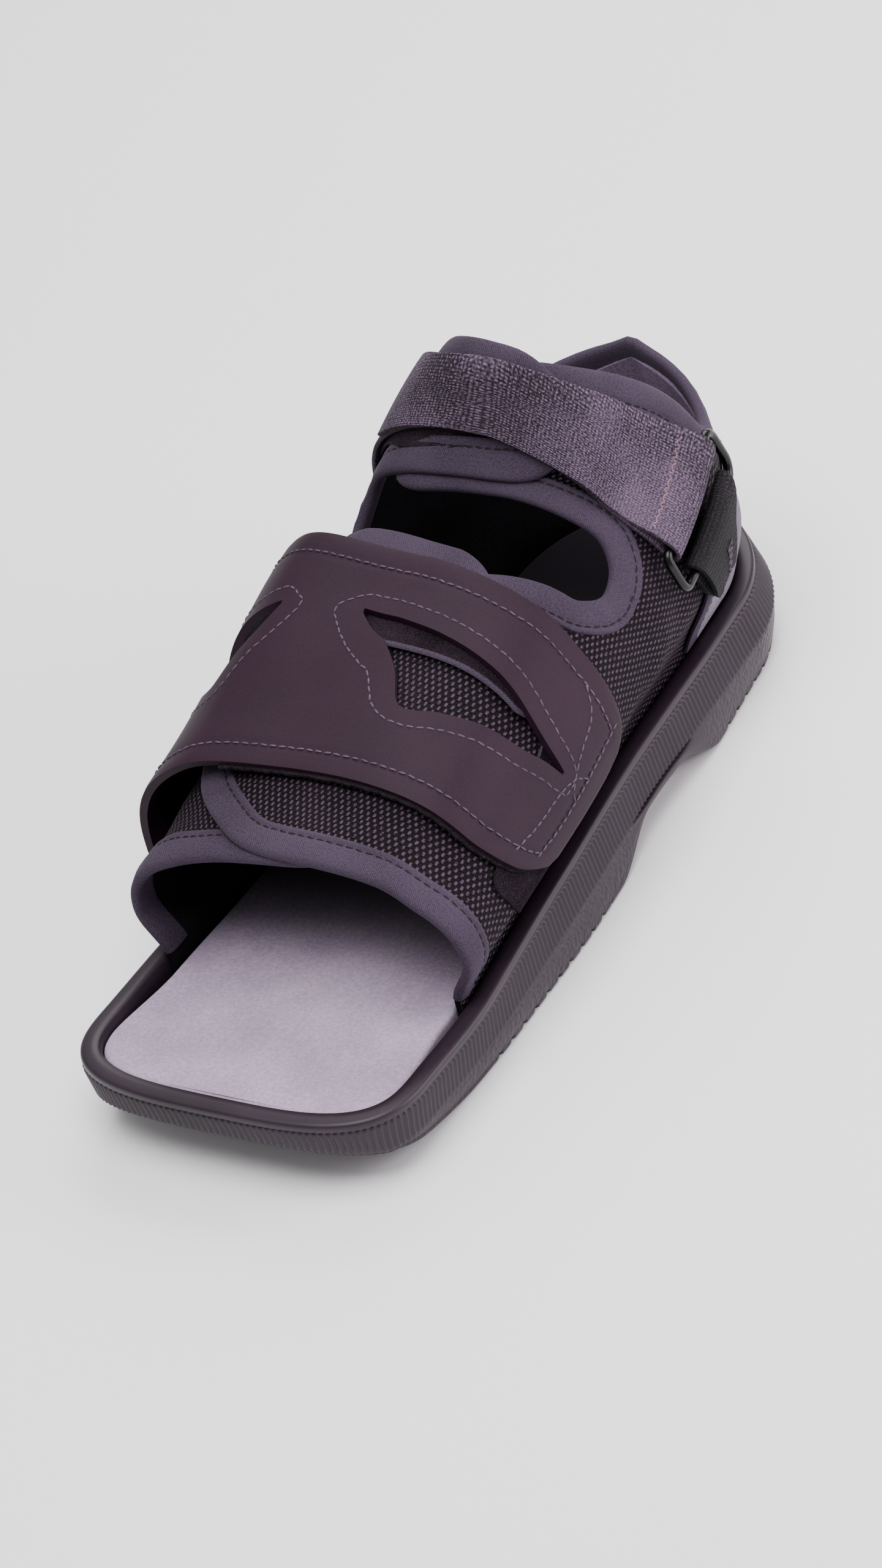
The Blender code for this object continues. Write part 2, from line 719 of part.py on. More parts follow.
def add_flap(sheet, side, table, lifted, columns, root_row, root_ends, count):
    """Flap that grows from the root row of the band."""
    start, end = columns[0][0], columns[-1][0]
    previous = root_row
    tip = table[-1][0]
    for share_up, row_bound in flap_rows(tip, count):
        ring = []
        for (along, bound), root in zip(columns, root_ends):
            across = (along - start) / (end - start)
            over = root + (tip - root) * share_up
            front, back = edges_at(table, over)
            narrow = (back - front) / (end - start)
            place = front + (back - front) * bound_share(across, narrow, columns)
            lift = OVERLAP_LIFT * ramp(*FLAP_RISE, over) if lifted else 0.0
            wall = WALL + (BINDING_STEP if bound or row_bound else 0.0)
            ring.append(sheet.add(side, place, over, lift, wall))
        if side > 0:
            sheet.strip(previous, ring)
        else:
            sheet.strip(ring, previous)
        previous = ring


def bound_share(across, narrow, columns):
    """Keeps the bindings of a flap's edges as wide where the flap narrows."""
    start, end = columns[0][0], columns[-1][0]
    bind = BINDING_WIDTH / LENGTH / (end - start)
    wide = min(bind / max(narrow, 1e-6), 0.4)
    if across <= bind:
        return across / bind * wide
    if across >= 1 - bind:
        return 1 - (1 - across) / bind * wide
    return wide + (across - bind) / (1 - 2 * bind) * (1 - 2 * wide)


def build_upper(material):
    sheet = Sheet()
    sides = {}
    for side, front_table, ankle_table in ((1, NEAR_FRONT_FLAP, NEAR_ANKLE_FLAP),
                                           (-1, FAR_FRONT_FLAP, FAR_ANKLE_FLAP)):
        front, hole, ankle, heel = upper_columns(front_table[0][1])
        band = front + hole + ankle + heel
        grid = []
        for index, (along, bound) in enumerate(band):
            rows = band_rows(side, along)
            at_hole = len(front) - 1 <= index <= len(front) + len(hole)
            at_collar = index >= len(band) - len(heel) - 1
            line = []
            for j, over in enumerate(rows):
                at_edge = (at_hole or at_collar) and j >= len(rows) - 2
                step = (bound and index < 2) or at_edge
                if side < 0 and along == 1.0:
                    line.append(sides[1][-1][j])
                else:
                    line.append(sheet.add(side, along, over, 0.0, WALL + (BINDING_STEP if step else 0.0)))
            grid.append(line)
        sides[side] = grid
        for low, high in zip(grid, grid[1:]):
            if side > 0:
                sheet.strip(high, low)
            else:
                sheet.strip(low, high)
        top = [line[-1] for line in grid]
        roots = [edge_over(side, along) for along, _bound in front]
        add_flap(sheet, side, front_table, side > 0, front, top[:len(front)], roots, FRONT_FLAP_ROWS)
        start = len(front) + len(hole)
        roots = [edge_over(side, along) for along, _bound in ankle]
        add_flap(sheet, side, ankle_table, side < 0, ankle, top[start:start + len(ankle)], roots,
                 ANKLE_FLAP_ROWS)
    return sheet.solid("upper", material)


# Overlays and straps
def side_panel(name, side, edges, lift, material, rows=8, columns=4):
    """Thin panel on one side; edges gives the front and back place of each row."""
    sheet = Sheet()
    previous = None
    for over in spread(edges[0][0], edges[-1][0], rows):
        front, back = edges_at(edges, over)
        row = [sheet.add(side, along, over, lift, PANEL) for along in spread(front, back, columns)]
        if previous:
            sheet.strip(previous, row)
        previous = row
    return sheet.solid(name, material)


def strip_middle(over):
    return column(STRIP_PLACE, STRIP_COLUMNS, "middle", over)


def build_quarters(binding, suede, counter):
    """Upright strips, light panels and the counter; each piece ends GAP short of the next."""
    half = STRIP_WIDTH / LENGTH / 2
    gap = GAP / LENGTH
    lift = WALL + PLAY
    overs = spread(STRIP_PLACE[0][0], STRIP_TOP, 6)
    for side, name in ((1, "near"), (-1, "far")):
        strip = [(over, strip_middle(over) - half, strip_middle(over) + half) for over in overs]
        side_panel("side_binding_" + name, side, strip, lift, binding, columns=1)
        panel = [(over, strip_middle(over) + half + gap, HEEL_PANEL_END - gap) for over in overs]
        side_panel("heel_panel_" + name, side, panel, lift, suede, columns=5)
    sheet = Sheet()
    previous = None
    for over in overs:
        row = [sheet.add(1, along, over, lift, PANEL) for along in spread(HEEL_PANEL_END, 1.0, 6)]
        row += [sheet.add(-1, along, over, lift, PANEL) for along in spread(1.0, HEEL_PANEL_END, 6)[1:]]
        if previous:
            sheet.strip(previous, row)
        previous = row
    sheet.solid("heel_counter", counter)


def top_lift(over):
    """Outside of the bound flaps: the near front flap lies on the far one."""
    return WALL + GAP + (OVERLAP_LIFT + BINDING_STEP) * ramp(0.34, 0.60, over)


def strap_lift(over):
    standoff = STRAP_BULGE * ramp(1.05, 1.45, over)
    settle = ramp(2.05, 2.50, over)
    high = top_lift(over) + PILE + GAP + standoff
    return high + (WALL + GAP - high) * settle + STRAP_THICKNESS / 2


def build_forefoot_strap(material):
    path = table_path(FOREFOOT_STRAP, strap_lift, 26)
    corners = [(over, strap_lift(over), front, back) for over, front, back in FOREFOOT_STRAP[:4]]
    path = corners + [point for point in path if point[0] > corners[-1][0] + 0.03]
    strap = band_on_upper("forefoot_strap", path, STRAP_THICKNESS, 6, material)
    for name, mirror in (("near", False), ("far", True)):
        rows = []
        for over, _lift, front, back in table_path(STRAP_WINDOW, strap_lift, 22):
            place = 2 * WINDOW_MIDDLE - over if mirror else over
            rows.append((place, strap_lift(place), front, back))
        if mirror:
            rows.reverse()
        cutter = band_on_upper("window_cutter_" + name, rows, STRAP_THICKNESS * 2.2, 1, material)
        cutter.hide_render = True
        cutter.display_type = "WIRE"
        cut = strap.modifiers.new("window_" + name, "BOOLEAN")
        cut.operation = "DIFFERENCE"
        cut.solver = "EXACT"
        cut.object = cutter


def build_loop_panel(material):
    path = table_path(LOOP_PANEL, lambda over: top_lift(over) + PILE / 2, 16)
    band_on_upper("loop_panel", path, PILE, 5, material)


# Ankle strap, ring and tab
def ankle_lift(over):
    """Inner face of the ankle strap over the flaps; the far ankle flap lies on the near one."""
    near = WALL + BINDING_STEP + PLAY
    top = near + OVERLAP_LIFT
    ends = (PANEL_SEAT - near) * (1 - ramp(0.27, 0.45, over)) + (PANEL_SEAT - top) * ramp(1.62, 1.90, over)
    return near + (top - near) * ramp(0.52, 0.70, over) + ends


def turn(over, lift, radius, start, end, count=6):
    """Half turn round a bar, as places of over and lift."""
    places = []
    for k in range(count + 1):
        angle = math.radians(start + (end - start) * k / count)
        places.append((over + radius * math.cos(angle) / OVER_GIRTH, lift + radius * math.sin(angle)))
    return places


def build_ankle_strap(material):
    bar_over = ANKLE_STRAP[0][0]
    radius = RING_BAR / 2 + RING_PLAY + WEBBING / 2
    bar_lift = ankle_lift(bar_over) + WEBBING / 2 + radius
    path = table_path(ANKLE_STRAP, lambda over: ankle_lift(over) + WEBBING / 2, 20, reverse=True)[:-1]
    front, back = ANKLE_STRAP[0][1], ANKLE_STRAP[0][2]
    path += [(over, lift, front, back) for over, lift in turn(bar_over, bar_lift, radius, -90, -270)]
    for over in spread(bar_over + 0.10, STRAP_END, 12):
        lift = ankle_lift(over) + WEBBING * 1.5 + GAP
        lift += (bar_lift + radius - lift) * (1 - ramp(bar_over, bar_over + BAR_RAMP, over))
        path.append((over, lift, *edges_at(ANKLE_STRAP, over)))
    band_on_upper("ankle_strap", path, WEBBING, STRAP_ACROSS, material)
    return bar_over, bar_lift


def build_ring(bar_over, bar_lift, material):
    """Rectangular ring through the strap and the tab; each long bar follows the webbing round it."""
    margin = RING_SIDE / LENGTH
    strap_front, strap_back = ANKLE_STRAP[0][1], ANKLE_STRAP[0][2]
    front, back = strap_front - margin, strap_back + margin
    low = bar_over - RING_DEPTH / OVER_GIRTH
    tab_front, tab_back = edges_at(RING_TAB, low)
    ends = RING_CORNER / LENGTH
    bend = RING_CORNER / OVER_GIRTH
    on_strap = spread(strap_front, strap_back, STRAP_ACROSS)
    on_tab = spread(tab_back, tab_front, TAB_ACROSS)
    points = []
    for over, inward, start, end, middle in ((bar_over, -bend, front, back, on_strap),
                                             (low, bend, back, front, on_tab)):
        run = ends if start < end else -ends
        points.append((start, over + inward))
        points.append((start + run * 0.3, over + inward * 0.3))
        points.append((start + run, over))
        points += [(place, over) for place in middle]
        points.append((end - run, over))
        points.append((end - run * 0.3, over + inward * 0.3))
        points.append((end, over + inward))
    curve = bpy.data.curves.new("strap_ring", "CURVE")
    curve.dimensions = "3D"
    spline = curve.splines.new("POLY")
    spline.points.add(len(points) - 1)
    for point, (along, over) in zip(spline.points, points):
        point.co = (*on_upper(1, along, over, bar_lift), 1.0)
    spline.use_cyclic_u = True
    curve.bevel_depth = RING_BAR / 2
    curve.bevel_resolution = 2
    curve.materials.append(material)
    obj = bpy.data.objects.new("strap_ring", curve)
    bpy.context.scene.collection.objects.link(obj)
    return low


def build_ring_tab(low, bar_lift, material):
    """Webbing round the ring's lower bar, both ends sewn to the quarter."""
    radius = RING_BAR / 2 + RING_PLAY + WEBBING / 2
    seat = PANEL_SEAT + WEBBING / 2
    start = RING_TAB[0][0]
    places = []
    for over in spread(start, low - 0.10, 6):
        near_bar = ramp(low - BAR_RAMP, low, over)
        places.append((over, seat + (bar_lift - radius - seat) * near_bar))
    places += turn(low, bar_lift, radius, -90, 90)
    for over in spread(low - 0.10, start, 6):
        near_bar = ramp(low - BAR_RAMP, low, over)
        flat = seat + WEBBING + GAP
        places.append((over, flat + (bar_lift + radius - flat) * near_bar))
    path = [(over, lift, *edges_at(RING_TAB, over)) for over, lift in places]
    band_on_upper("ring_tab", path, WEBBING, TAB_ACROSS, material)


def centre_on_floor():
    """Puts the origin on the floor under the middle of the whole shoe."""
    meshes = [obj for obj in bpy.data.objects if obj.type == "MESH" and not obj.hide_render]
    points = np.array([vertex.co for obj in meshes for vertex in obj.data.vertices])
    middle = (points.min(axis=0) + points.max(axis=0)) / 2
    shift = Matrix.Translation((-middle[0], -middle[1], -points[:, 2].min()))
    for obj in bpy.data.objects:
        obj.data.transform(shift)


def clear_scene():
    for obj in list(bpy.data.objects):
        bpy.data.objects.remove(obj, do_unlink=True)


def main():
    clear_scene()
    rubber = make_material("sole_rubber", (0.020, 0.018, 0.022), 0.65)
    foam = make_material("insole_fabric", (0.36, 0.32, 0.38), 0.95)
    mesh = make_material("upper_mesh", (0.030, 0.022, 0.030), 0.9)
    binding = make_material("binding_tape", (0.16, 0.14, 0.17), 0.9)
    suede = make_material("heel_suede", (0.34, 0.33, 0.36), 0.95)
    counter = make_material("counter_cloth", (0.05, 0.04, 0.055), 0.9)
    pile = make_material("loop_pile", (0.05, 0.04, 0.05), 1.0)
    smooth = make_material("strap_face", (0.065, 0.045, 0.060), 0.55)
    webbing = make_material("strap_webbing", (0.22, 0.19, 0.23), 0.9)
    tab = make_material("tab_webbing", (0.10, 0.085, 0.11), 0.85)
    plastic = make_material("ring_plastic", (0.010, 0.010, 0.012), 0.25)
    build_outsole(rubber)
    build_insole(foam)
    build_upper(mesh)
    build_loop_panel(pile)
    build_forefoot_strap(smooth)
    build_quarters(binding, suede, counter)
    bar_over, bar_lift = build_ankle_strap(webbing)
    low = build_ring(bar_over, bar_lift, plastic)
    build_ring_tab(low, bar_lift, tab)
    centre_on_floor()


main()
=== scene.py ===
"""Looks of a post operative shoe: rocker cup sole, open toe fabric upper, two straps and a ring.

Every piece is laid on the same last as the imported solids. Metres, +Z up, toe along -Y.
"""
import logging
import math
from dataclasses import dataclass
from enum import Enum

import bpy
import numpy as np
from mathutils import Matrix, Vector


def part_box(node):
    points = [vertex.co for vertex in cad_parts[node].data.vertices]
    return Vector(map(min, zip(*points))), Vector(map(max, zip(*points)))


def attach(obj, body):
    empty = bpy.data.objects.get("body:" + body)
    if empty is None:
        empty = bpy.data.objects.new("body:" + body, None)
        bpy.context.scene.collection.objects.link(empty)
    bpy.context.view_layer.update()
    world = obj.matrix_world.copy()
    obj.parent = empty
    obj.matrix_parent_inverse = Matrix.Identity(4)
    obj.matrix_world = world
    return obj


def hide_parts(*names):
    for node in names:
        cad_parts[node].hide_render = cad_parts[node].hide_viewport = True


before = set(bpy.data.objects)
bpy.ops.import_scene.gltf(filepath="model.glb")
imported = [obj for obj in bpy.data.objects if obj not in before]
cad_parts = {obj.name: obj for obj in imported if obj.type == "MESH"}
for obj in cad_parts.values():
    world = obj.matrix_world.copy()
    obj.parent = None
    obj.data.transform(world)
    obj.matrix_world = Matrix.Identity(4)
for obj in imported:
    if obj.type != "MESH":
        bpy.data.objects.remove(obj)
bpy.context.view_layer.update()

LOG = logging.getLogger("post_operative_shoe")
TAU = 2.0 * math.pi
MM = 0.001


def ramp(start: float, end: float, value):
    """Smooth step from 0 at start to 1 at end.

    Args:
        start: Value where the step starts.
        end: Value where it ends.
        value: Number or array.

    Returns:
        Number or array from 0 to 1.
    """
    t = np.clip((np.asarray(value, float) - start) / (end - start), 0.0, 1.0)
    return t * t * (3.0 - 2.0 * t)


def hill(middle: float, width: float, value):
    """Soft hill of height 1 at middle, which is about twice width across."""
    return np.exp(-((np.asarray(value, float) - middle) / width) ** 2)


def fold_back(around):
    """Place from the toe (0) to the heel (1) of one that runs on to the far toe (2)."""
    return np.minimum(around, 2.0 - np.asarray(around, float))


def ripple(place, *waves: tuple):
    """Sum of sine waves.

    Args:
        place: Array of distances in metres.
        waves: Tuples of wave length in metres, phase and height.

    Returns:
        Array of heights.
    """
    return sum(height * np.sin(TAU * place / length + phase) for length, phase, height in waves)


@dataclass(frozen=True)
class Table:
    """Smooth columns of a table whose first column is the place."""

    rows: tuple

    def at(self, index: int, place):
        """Value of a column.

        Args:
            index: Number of the column.
            place: Number or array of places.

        Returns:
            Smooth values at those places.
        """
        grid = np.array(self.rows, float)
        keys, values = grid[:, 0], grid[:, index]
        count = len(keys)
        before = np.maximum(np.arange(count) - 1, 0)
        after = np.minimum(np.arange(count) + 1, count - 1)
        slope = (values[after] - values[before]) / (keys[after] - keys[before])
        place = np.clip(np.asarray(place, float), keys[0], keys[-1])
        k = np.clip(np.searchsorted(keys, place, side="right") - 1, 0, count - 2)
        span = keys[k + 1] - keys[k]
        t = (place - keys[k]) / span
        return (values[k] * (1 + 2 * t) * (1 - t) ** 2 + slope[k] * span * t * (1 - t) ** 2
                + values[k + 1] * t * t * (3 - 2 * t) + slope[k + 1] * span * t * t * (t - 1))

    def first(self) -> float:
        """First place of the table."""
        return self.rows[0][0]

    def last(self) -> float:
        """Last place of the table."""
        return self.rows[-1][0]


@dataclass
class Last:
    """Sizes of the sole's plan and of the upper's surface, which every piece is placed on.

    along is the share of the length from the toe. over is -1 in the cup, 0 at the widest place,
    1 at the crest and up to 2 on the other side. side is +1 near and -1 far.
    """

    length: float = 0.290
    ball_width: float = 0.113
    heel_radius: float = 0.0445
    toe_round: float = 0.032
    toe_square: float = 0.30
    rim_height: float = 0.0265
    rim_width: float = 0.0060
    toe_spring: float = 0.0140
    toe_spring_start: float = 0.207
    arch_rise: float = 0.0100
    arch_span: tuple = (0.50, 0.59, 0.66, 0.745)
    heel_rocker: float = 0.0030
    heel_rocker_start: float = 0.93
    rib_depth: float = 0.0009
    insole_thickness: float = 0.0050
    insole_drop: float = 0.0020
    crest_height: float = 0.0950
    heel_height: float = 0.0920
    wall: float = 0.0020
    step: float = 0.0006
    gap: float = 0.0003
    side: Table = Table((
        (0.00, 1.02, -0.040, -0.010), (0.08, 0.98, -0.040, -0.018), (0.20, 0.925, -0.030, -0.016),
        (0.28, 0.94, -0.008, -0.004), (0.40, 0.99, 0.018, 0.010), (0.50, 1.03, 0.023, 0.014),
        (0.62, 1.06, 0.022, 0.012), (0.70, 1.07, 0.028, 0.018), (0.80, 1.07, 0.016, 0.024),
        (0.90, 1.11, 0.006, 0.030), (1.00, 1.24, 0.006, 0.030)))
    outline: Table = Table((
        (0.11, 1.000), (0.21, 1.000), (0.29, 0.965), (0.37, 0.930), (0.45, 0.902), (0.53, 0.868),
        (0.60, 0.843), (0.68, 0.828), (0.76, 0.812), (0.847, 0.788)))
    sections: Table = Table((
        (0.200, 0.060, 0.062, 0.440, 0.196, 0.710, 2.25, 2.30),
        (0.310, 0.074, 0.084, 0.440, 0.303, 0.768, 2.25, 2.70),
        (0.448, 0.086, 0.106, 0.460, 0.441, 0.874, 2.20, 2.90),
        (0.569, 0.088, 0.134, 0.490, 0.562, 0.947, 2.20, 3.40),
        (0.655, 0.084, 0.146, 0.510, 0.645, 0.990, 2.20, 3.20),
        (0.707, 0.080, 0.146, 0.526, 0.690, 1.035, 2.20, 3.30),
        (0.759, 0.074, 0.140, 0.530, 0.717, 1.100, 2.25, 3.20),
        (0.828, 0.060, 0.108, 0.530, 0.752, 1.240, 2.40, 2.90),
        (0.885, 0.042, 0.064, 0.530, 0.786, 1.370, 2.70, 2.60),
        (0.940, 0.036, 0.044, 0.520, 0.880, 1.470, 2.80, 2.60),
        (1.000, 0.040, 0.040, 0.500, 0.970, 1.560, 2.60, 2.60)))
    edge: Table = Table((
        (0.200, 0.62), (0.300, 0.68), (0.610, 0.86), (0.645, 0.81), (0.680, 0.84), (0.790, 0.88),
        (0.885, 0.88), (0.940, 0.93), (1.000, 1.00)))

    def __post_init__(self) -> None:
        """Lays out the plan of the sole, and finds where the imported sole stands."""
        half, centre = self.ball_width / 2, self.length - self.heel_radius
        toe = self.toe_round * np.linspace(0, 1, 121) ** 3
        middle = np.linspace(self.toe_round, centre, 121)[1:-1]
        turn = np.linspace(0, math.pi / 2, 121)
        x = np.concatenate((half * (1 - (1 - toe / self.toe_round) ** 3) ** self.toe_square,
                            half * self.outline.at(1, middle / self.length),
                            self.heel_radius * np.cos(turn)))
        s = np.concatenate((toe, middle, centre + self.heel_radius * np.sin(turn)))
        self.plan = np.stack((x, s), axis=1)
        self.reaches = np.concatenate(([0.0], np.cumsum(np.hypot(*np.diff(self.plan, axis=0).T))))
        self.half_girth = self.reaches[-1]
        low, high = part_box("outsole")
        self.origin = np.array(((low[0] + high[0]) / 2, low[1] + self.rib_depth, 0.0))
        self.over_girth = 0.70 * self.crest_height
        self.overlap = self.wall + self.step + self.gap

    def rim(self, reach):
        """Points of the rim and their outward directions.

        Args:
            reach: Array of distances along the rim from the middle of the toe.

        Returns:
            Points (x, distance from the toe) and unit vectors.
        """
        def at(r):
            fold = np.where(r < 0, -r, np.where(r > self.half_girth, 2 * self.half_girth - r, r))
            x = np.interp(fold, self.reaches, self.plan[:, 0])
            turned = (r < 0) | (r > self.half_girth)
            return np.stack((np.where(turned, -x, x), np.interp(fold, self.reaches, self.plan[:, 1])), -1)
        reach = np.asarray(reach, float)
        run = at(reach + 3 * MM) - at(reach - 3 * MM)
        run = run / np.linalg.norm(run, axis=-1, keepdims=True)
        return at(reach), np.stack((run[..., 1], -run[..., 0]), -1)

    def reach_of(self, along):
        """Distance along the rim; past the start of the round heel, places are spread evenly."""
        turn = 1.0 - self.heel_radius / self.length
        start = np.interp(turn * self.length, self.plan[:, 1], self.reaches)
        straight = np.interp(np.asarray(along) * self.length, self.plan[:, 1], self.reaches)
        bent = start + (self.half_girth - start) * (along - turn) / (1.0 - turn)
        return np.where(along <= turn, straight, bent)

    def rim_z(self, along):
        """Height of the rim's top."""
        return self.rim_height * self.side.at(1, along)

    def tread_z(self, along):
        """Height of the tread: toe spring, arch and heel rocker."""
        toe = self.toe_spring * np.maximum(0.0, 1.0 - np.asarray(along) / self.toe_spring_start) ** 2
        a, b, c, d = self.arch_span
        arch = self.arch_rise * ramp(a, b, along) * (1 - ramp(c, d, along))
        return toe + arch + self.heel_rocker * ramp(self.heel_rocker_start, 1.0, along) ** 2

    def cup_z(self, along):
        """Height of the cup's floor under the insole."""
        return self.rim_z(along) - self.insole_drop - self.insole_thickness - self.gap

    def surface(self, side, along, over):
        """Inner face of the upper, as points (x, distance from the toe, height)."""
        side, along, over = np.broadcast_arrays(np.asarray(side, float), along, over)
        side = np.where(over > 1.0, -side, side)
        over = np.where(over > 1.0, 2.0 - over, over)
        far = side < 0
        point, outward = self.rim(self.reach_of(along))
        base = point - outward * (self.rim_width + self.gap + self.wall + self.step)
        cut = self.sections
        swell = self.ball_width * np.where(far, cut.at(2, along), cut.at(1, along))
        waist = self.crest_height * cut.at(3, along)
        share = point[..., 1] / self.length
        low, rim = self.cup_z(share) + self.gap, self.rim_z(share) + self.gap
        height = low + (waist - low) * (1.0 + np.minimum(over, 0.0))
        lean = 0.5 - 0.5 * np.cos(math.pi * np.clip((height - rim) / (waist - rim), 0.0, 1.0))
        below = base + outward * (swell * lean)[..., None]
        power = 2.0 / np.where(far, cut.at(7, along), cut.at(6, along))
        sine = np.sin(np.clip(over, 0.0, 1.0) * math.pi / 2)
        cosine = np.maximum(np.cos(np.clip(over, 0.0, 1.0) * math.pi / 2), 0.0)
        widest = base + outward * swell[..., None]
        x = widest[..., 0] * cosine ** power
        z = waist + (self.crest_height * cut.at(5, along) - waist) * sine ** power
        s = widest[..., 1] + (cut.at(4, along) * self.length - widest[..., 1]) * sine ** 2
        under = over <= 0.0
        return np.stack((side * np.where(under, below[..., 0], x), np.where(under, below[..., 1], s),
                         np.where(under, height, z)), -1)

    def normal(self, side, along, over):
        """Outward directions of the upper's surface."""
        side, along, over = np.broadcast_arrays(np.asarray(side, float), along, over)
        side = np.where(over > 1.0, -side, side)
        over = np.where(over > 1.0, 2.0 - over, over)
        run = (self.surface(side, np.minimum(along + 0.004, 1.0), over)
               - self.surface(side, np.maximum(along - 0.004, 0.0), over))
        rise = self.surface(side, along, over + 0.02) - self.surface(side, along, np.maximum(over - 0.02, -1))
        normal = np.cross(run, rise) * side[..., None]
        normal[..., 0] = np.where(along > 0.999, 0.0, normal[..., 0])
        return normal / np.linalg.norm(normal, axis=-1, keepdims=True)

    def place(self, side, along, over, lift):
        """Points in the frame at a height over the upper's inner face."""
        lift = np.broadcast_to(lift, np.broadcast(side, along, over).shape)
        return (self.surface(side, along, over) + self.normal(side, along, over) * lift[..., None]
                + self.origin)

    def round_place(self, around, over, lift):
        """Points by a place that runs from the toe (0) to the heel (1) and on to the far toe (2)."""
        around = np.asarray(around, float)
        side = np.where(around > 1.0, -1.0, 1.0)
        return self.place(side, fold_back(around), over, lift)

    def edge_over(self, side: int, along):
        """Top edge of the wall between the flaps and round the collar."""
        waist = self.crest_height * self.sections.at(3, along)
        crest = self.crest_height * self.sections.at(5, along)
        height = self.heel_height * self.edge.at(1, along)
        share = np.clip((height - waist) / (crest - waist), 0.0, 1.0)
        full = self.sections.at(7 if side < 0 else 6, along)
        return np.arcsin(share ** (full / 2.0)) * 2.0 / math.pi


LAST = Last()

NEAR_FRONT = Table((
    (0.40, 0.214, 0.614), (0.70, 0.214, 0.600), (1.00, 0.214, 0.570), (1.12, 0.221, 0.560),
    (1.26, 0.252, 0.552), (1.38, 0.282, 0.540), (1.48, 0.320, 0.520), (1.56, 0.370, 0.490)))
FAR_FRONT = Table((
    (0.40, 0.200, 0.614), (0.60, 0.203, 0.638), (0.80, 0.208, 0.635), (1.00, 0.214, 0.622),
    (1.15, 0.230, 0.600), (1.26, 0.290, 0.560)))
NEAR_ANKLE = Table((
    (0.25, 0.683, 0.885), (0.45, 0.703, 0.882), (0.70, 0.705, 0.878), (1.00, 0.705, 0.874),
    (1.20, 0.698, 0.855), (1.31, 0.712, 0.820)))
FAR_ANKLE = Table((
    (0.25, 0.683, 0.885), (0.45, 0.710, 0.885), (0.70, 0.718, 0.885), (1.00, 0.724, 0.885),
    (1.14, 0.734, 0.872), (1.24, 0.770, 0.850)))
STRAP_OUTLINE = Table((
    (-0.03, 0.385, 0.500), (0.00, 0.365, 0.535), (0.05, 0.345, 0.553), (0.14, 0.322, 0.559),
    (0.30, 0.307, 0.563), (0.50, 0.305, 0.567), (0.70, 0.310, 0.573), (0.95, 0.312, 0.582),
    (1.13, 0.309, 0.590), (1.40, 0.300, 0.598), (1.70, 0.290, 0.602), (2.00, 0.286, 0.602),
    (2.56, 0.286, 0.602)))
STRAP_WINDOW = Table((
    (0.193, 0.440, 0.444), (0.303, 0.433, 0.450), (0.406, 0.425, 0.460), (0.581, 0.418, 0.477),
    (0.711, 0.412, 0.488), (0.854, 0.407, 0.497), (0.919, 0.443, 0.500), (1.000, 0.476, 0.504),
    (1.054, 0.503, 0.508)))
WINDOW_MIDDLE = 1.20
ANKLE_OUTLINE = Table((
    (0.26, 0.737, 0.862), (0.42, 0.734, 0.856), (0.56, 0.738, 0.856), (0.70, 0.754, 0.860),
    (0.88, 0.778, 0.869), (1.03, 0.792, 0.874), (1.21, 0.786, 0.868), (1.50, 0.765, 0.860),
    (1.80, 0.755, 0.856), (2.10, 0.760, 0.862)))
TAB_OUTLINE = Table((
    (-0.13, 0.790, 0.800), (-0.06, 0.781, 0.816), (0.03, 0.768, 0.838), (0.12, 0.754, 0.858),
    (0.20, 0.742, 0.862)))
STRIP_PLACE = Table(((-0.52, 0.772), (-0.35, 0.785), (0.04, 0.815), (0.16, 0.868)))


# Finishes
def linear(hex_colour: str) -> tuple:
    """Linear RGBA of an sRGB hex colour such as "#302830"."""
    parts = [int(hex_colour[k:k + 2], 16) / 255 for k in (1, 3, 5)]
    return (*(p / 12.92 if p <= 0.04045 else ((p + 0.055) / 1.055) ** 2.4 for p in parts), 1.0)


def add_node(tree: bpy.types.NodeTree, kind: str, inputs: dict | None = None, **settings):
    """Adds a node with its settings and links.

    Args:
        tree: Node tree of the material.
        kind: Type name of the node.
        inputs: Sockets to link or constants to set, by input name or number.
        settings: Other properties of the node.

    Returns:
        The node.
    """
    made = tree.nodes.new(kind)
    for name, value in settings.items():
        setattr(made, name, value)
    for key, value in (inputs or {}).items():
        if isinstance(value, bpy.types.NodeSocket):
            tree.links.new(value, made.inputs[key])
        else:
            made.inputs[key].default_value = value
    return made


class Pattern(Enum):
    """How a surface was made."""

    KNIT = "spacer knit with staggered holes"
    BASKET = "basket weave of thick yarn"
    TWILL = "fine twill tape"
    NAP = "brushed nap"
    GRAIN = "fine moulded or coated grain"
    PEBBLE = "moulded pebble"


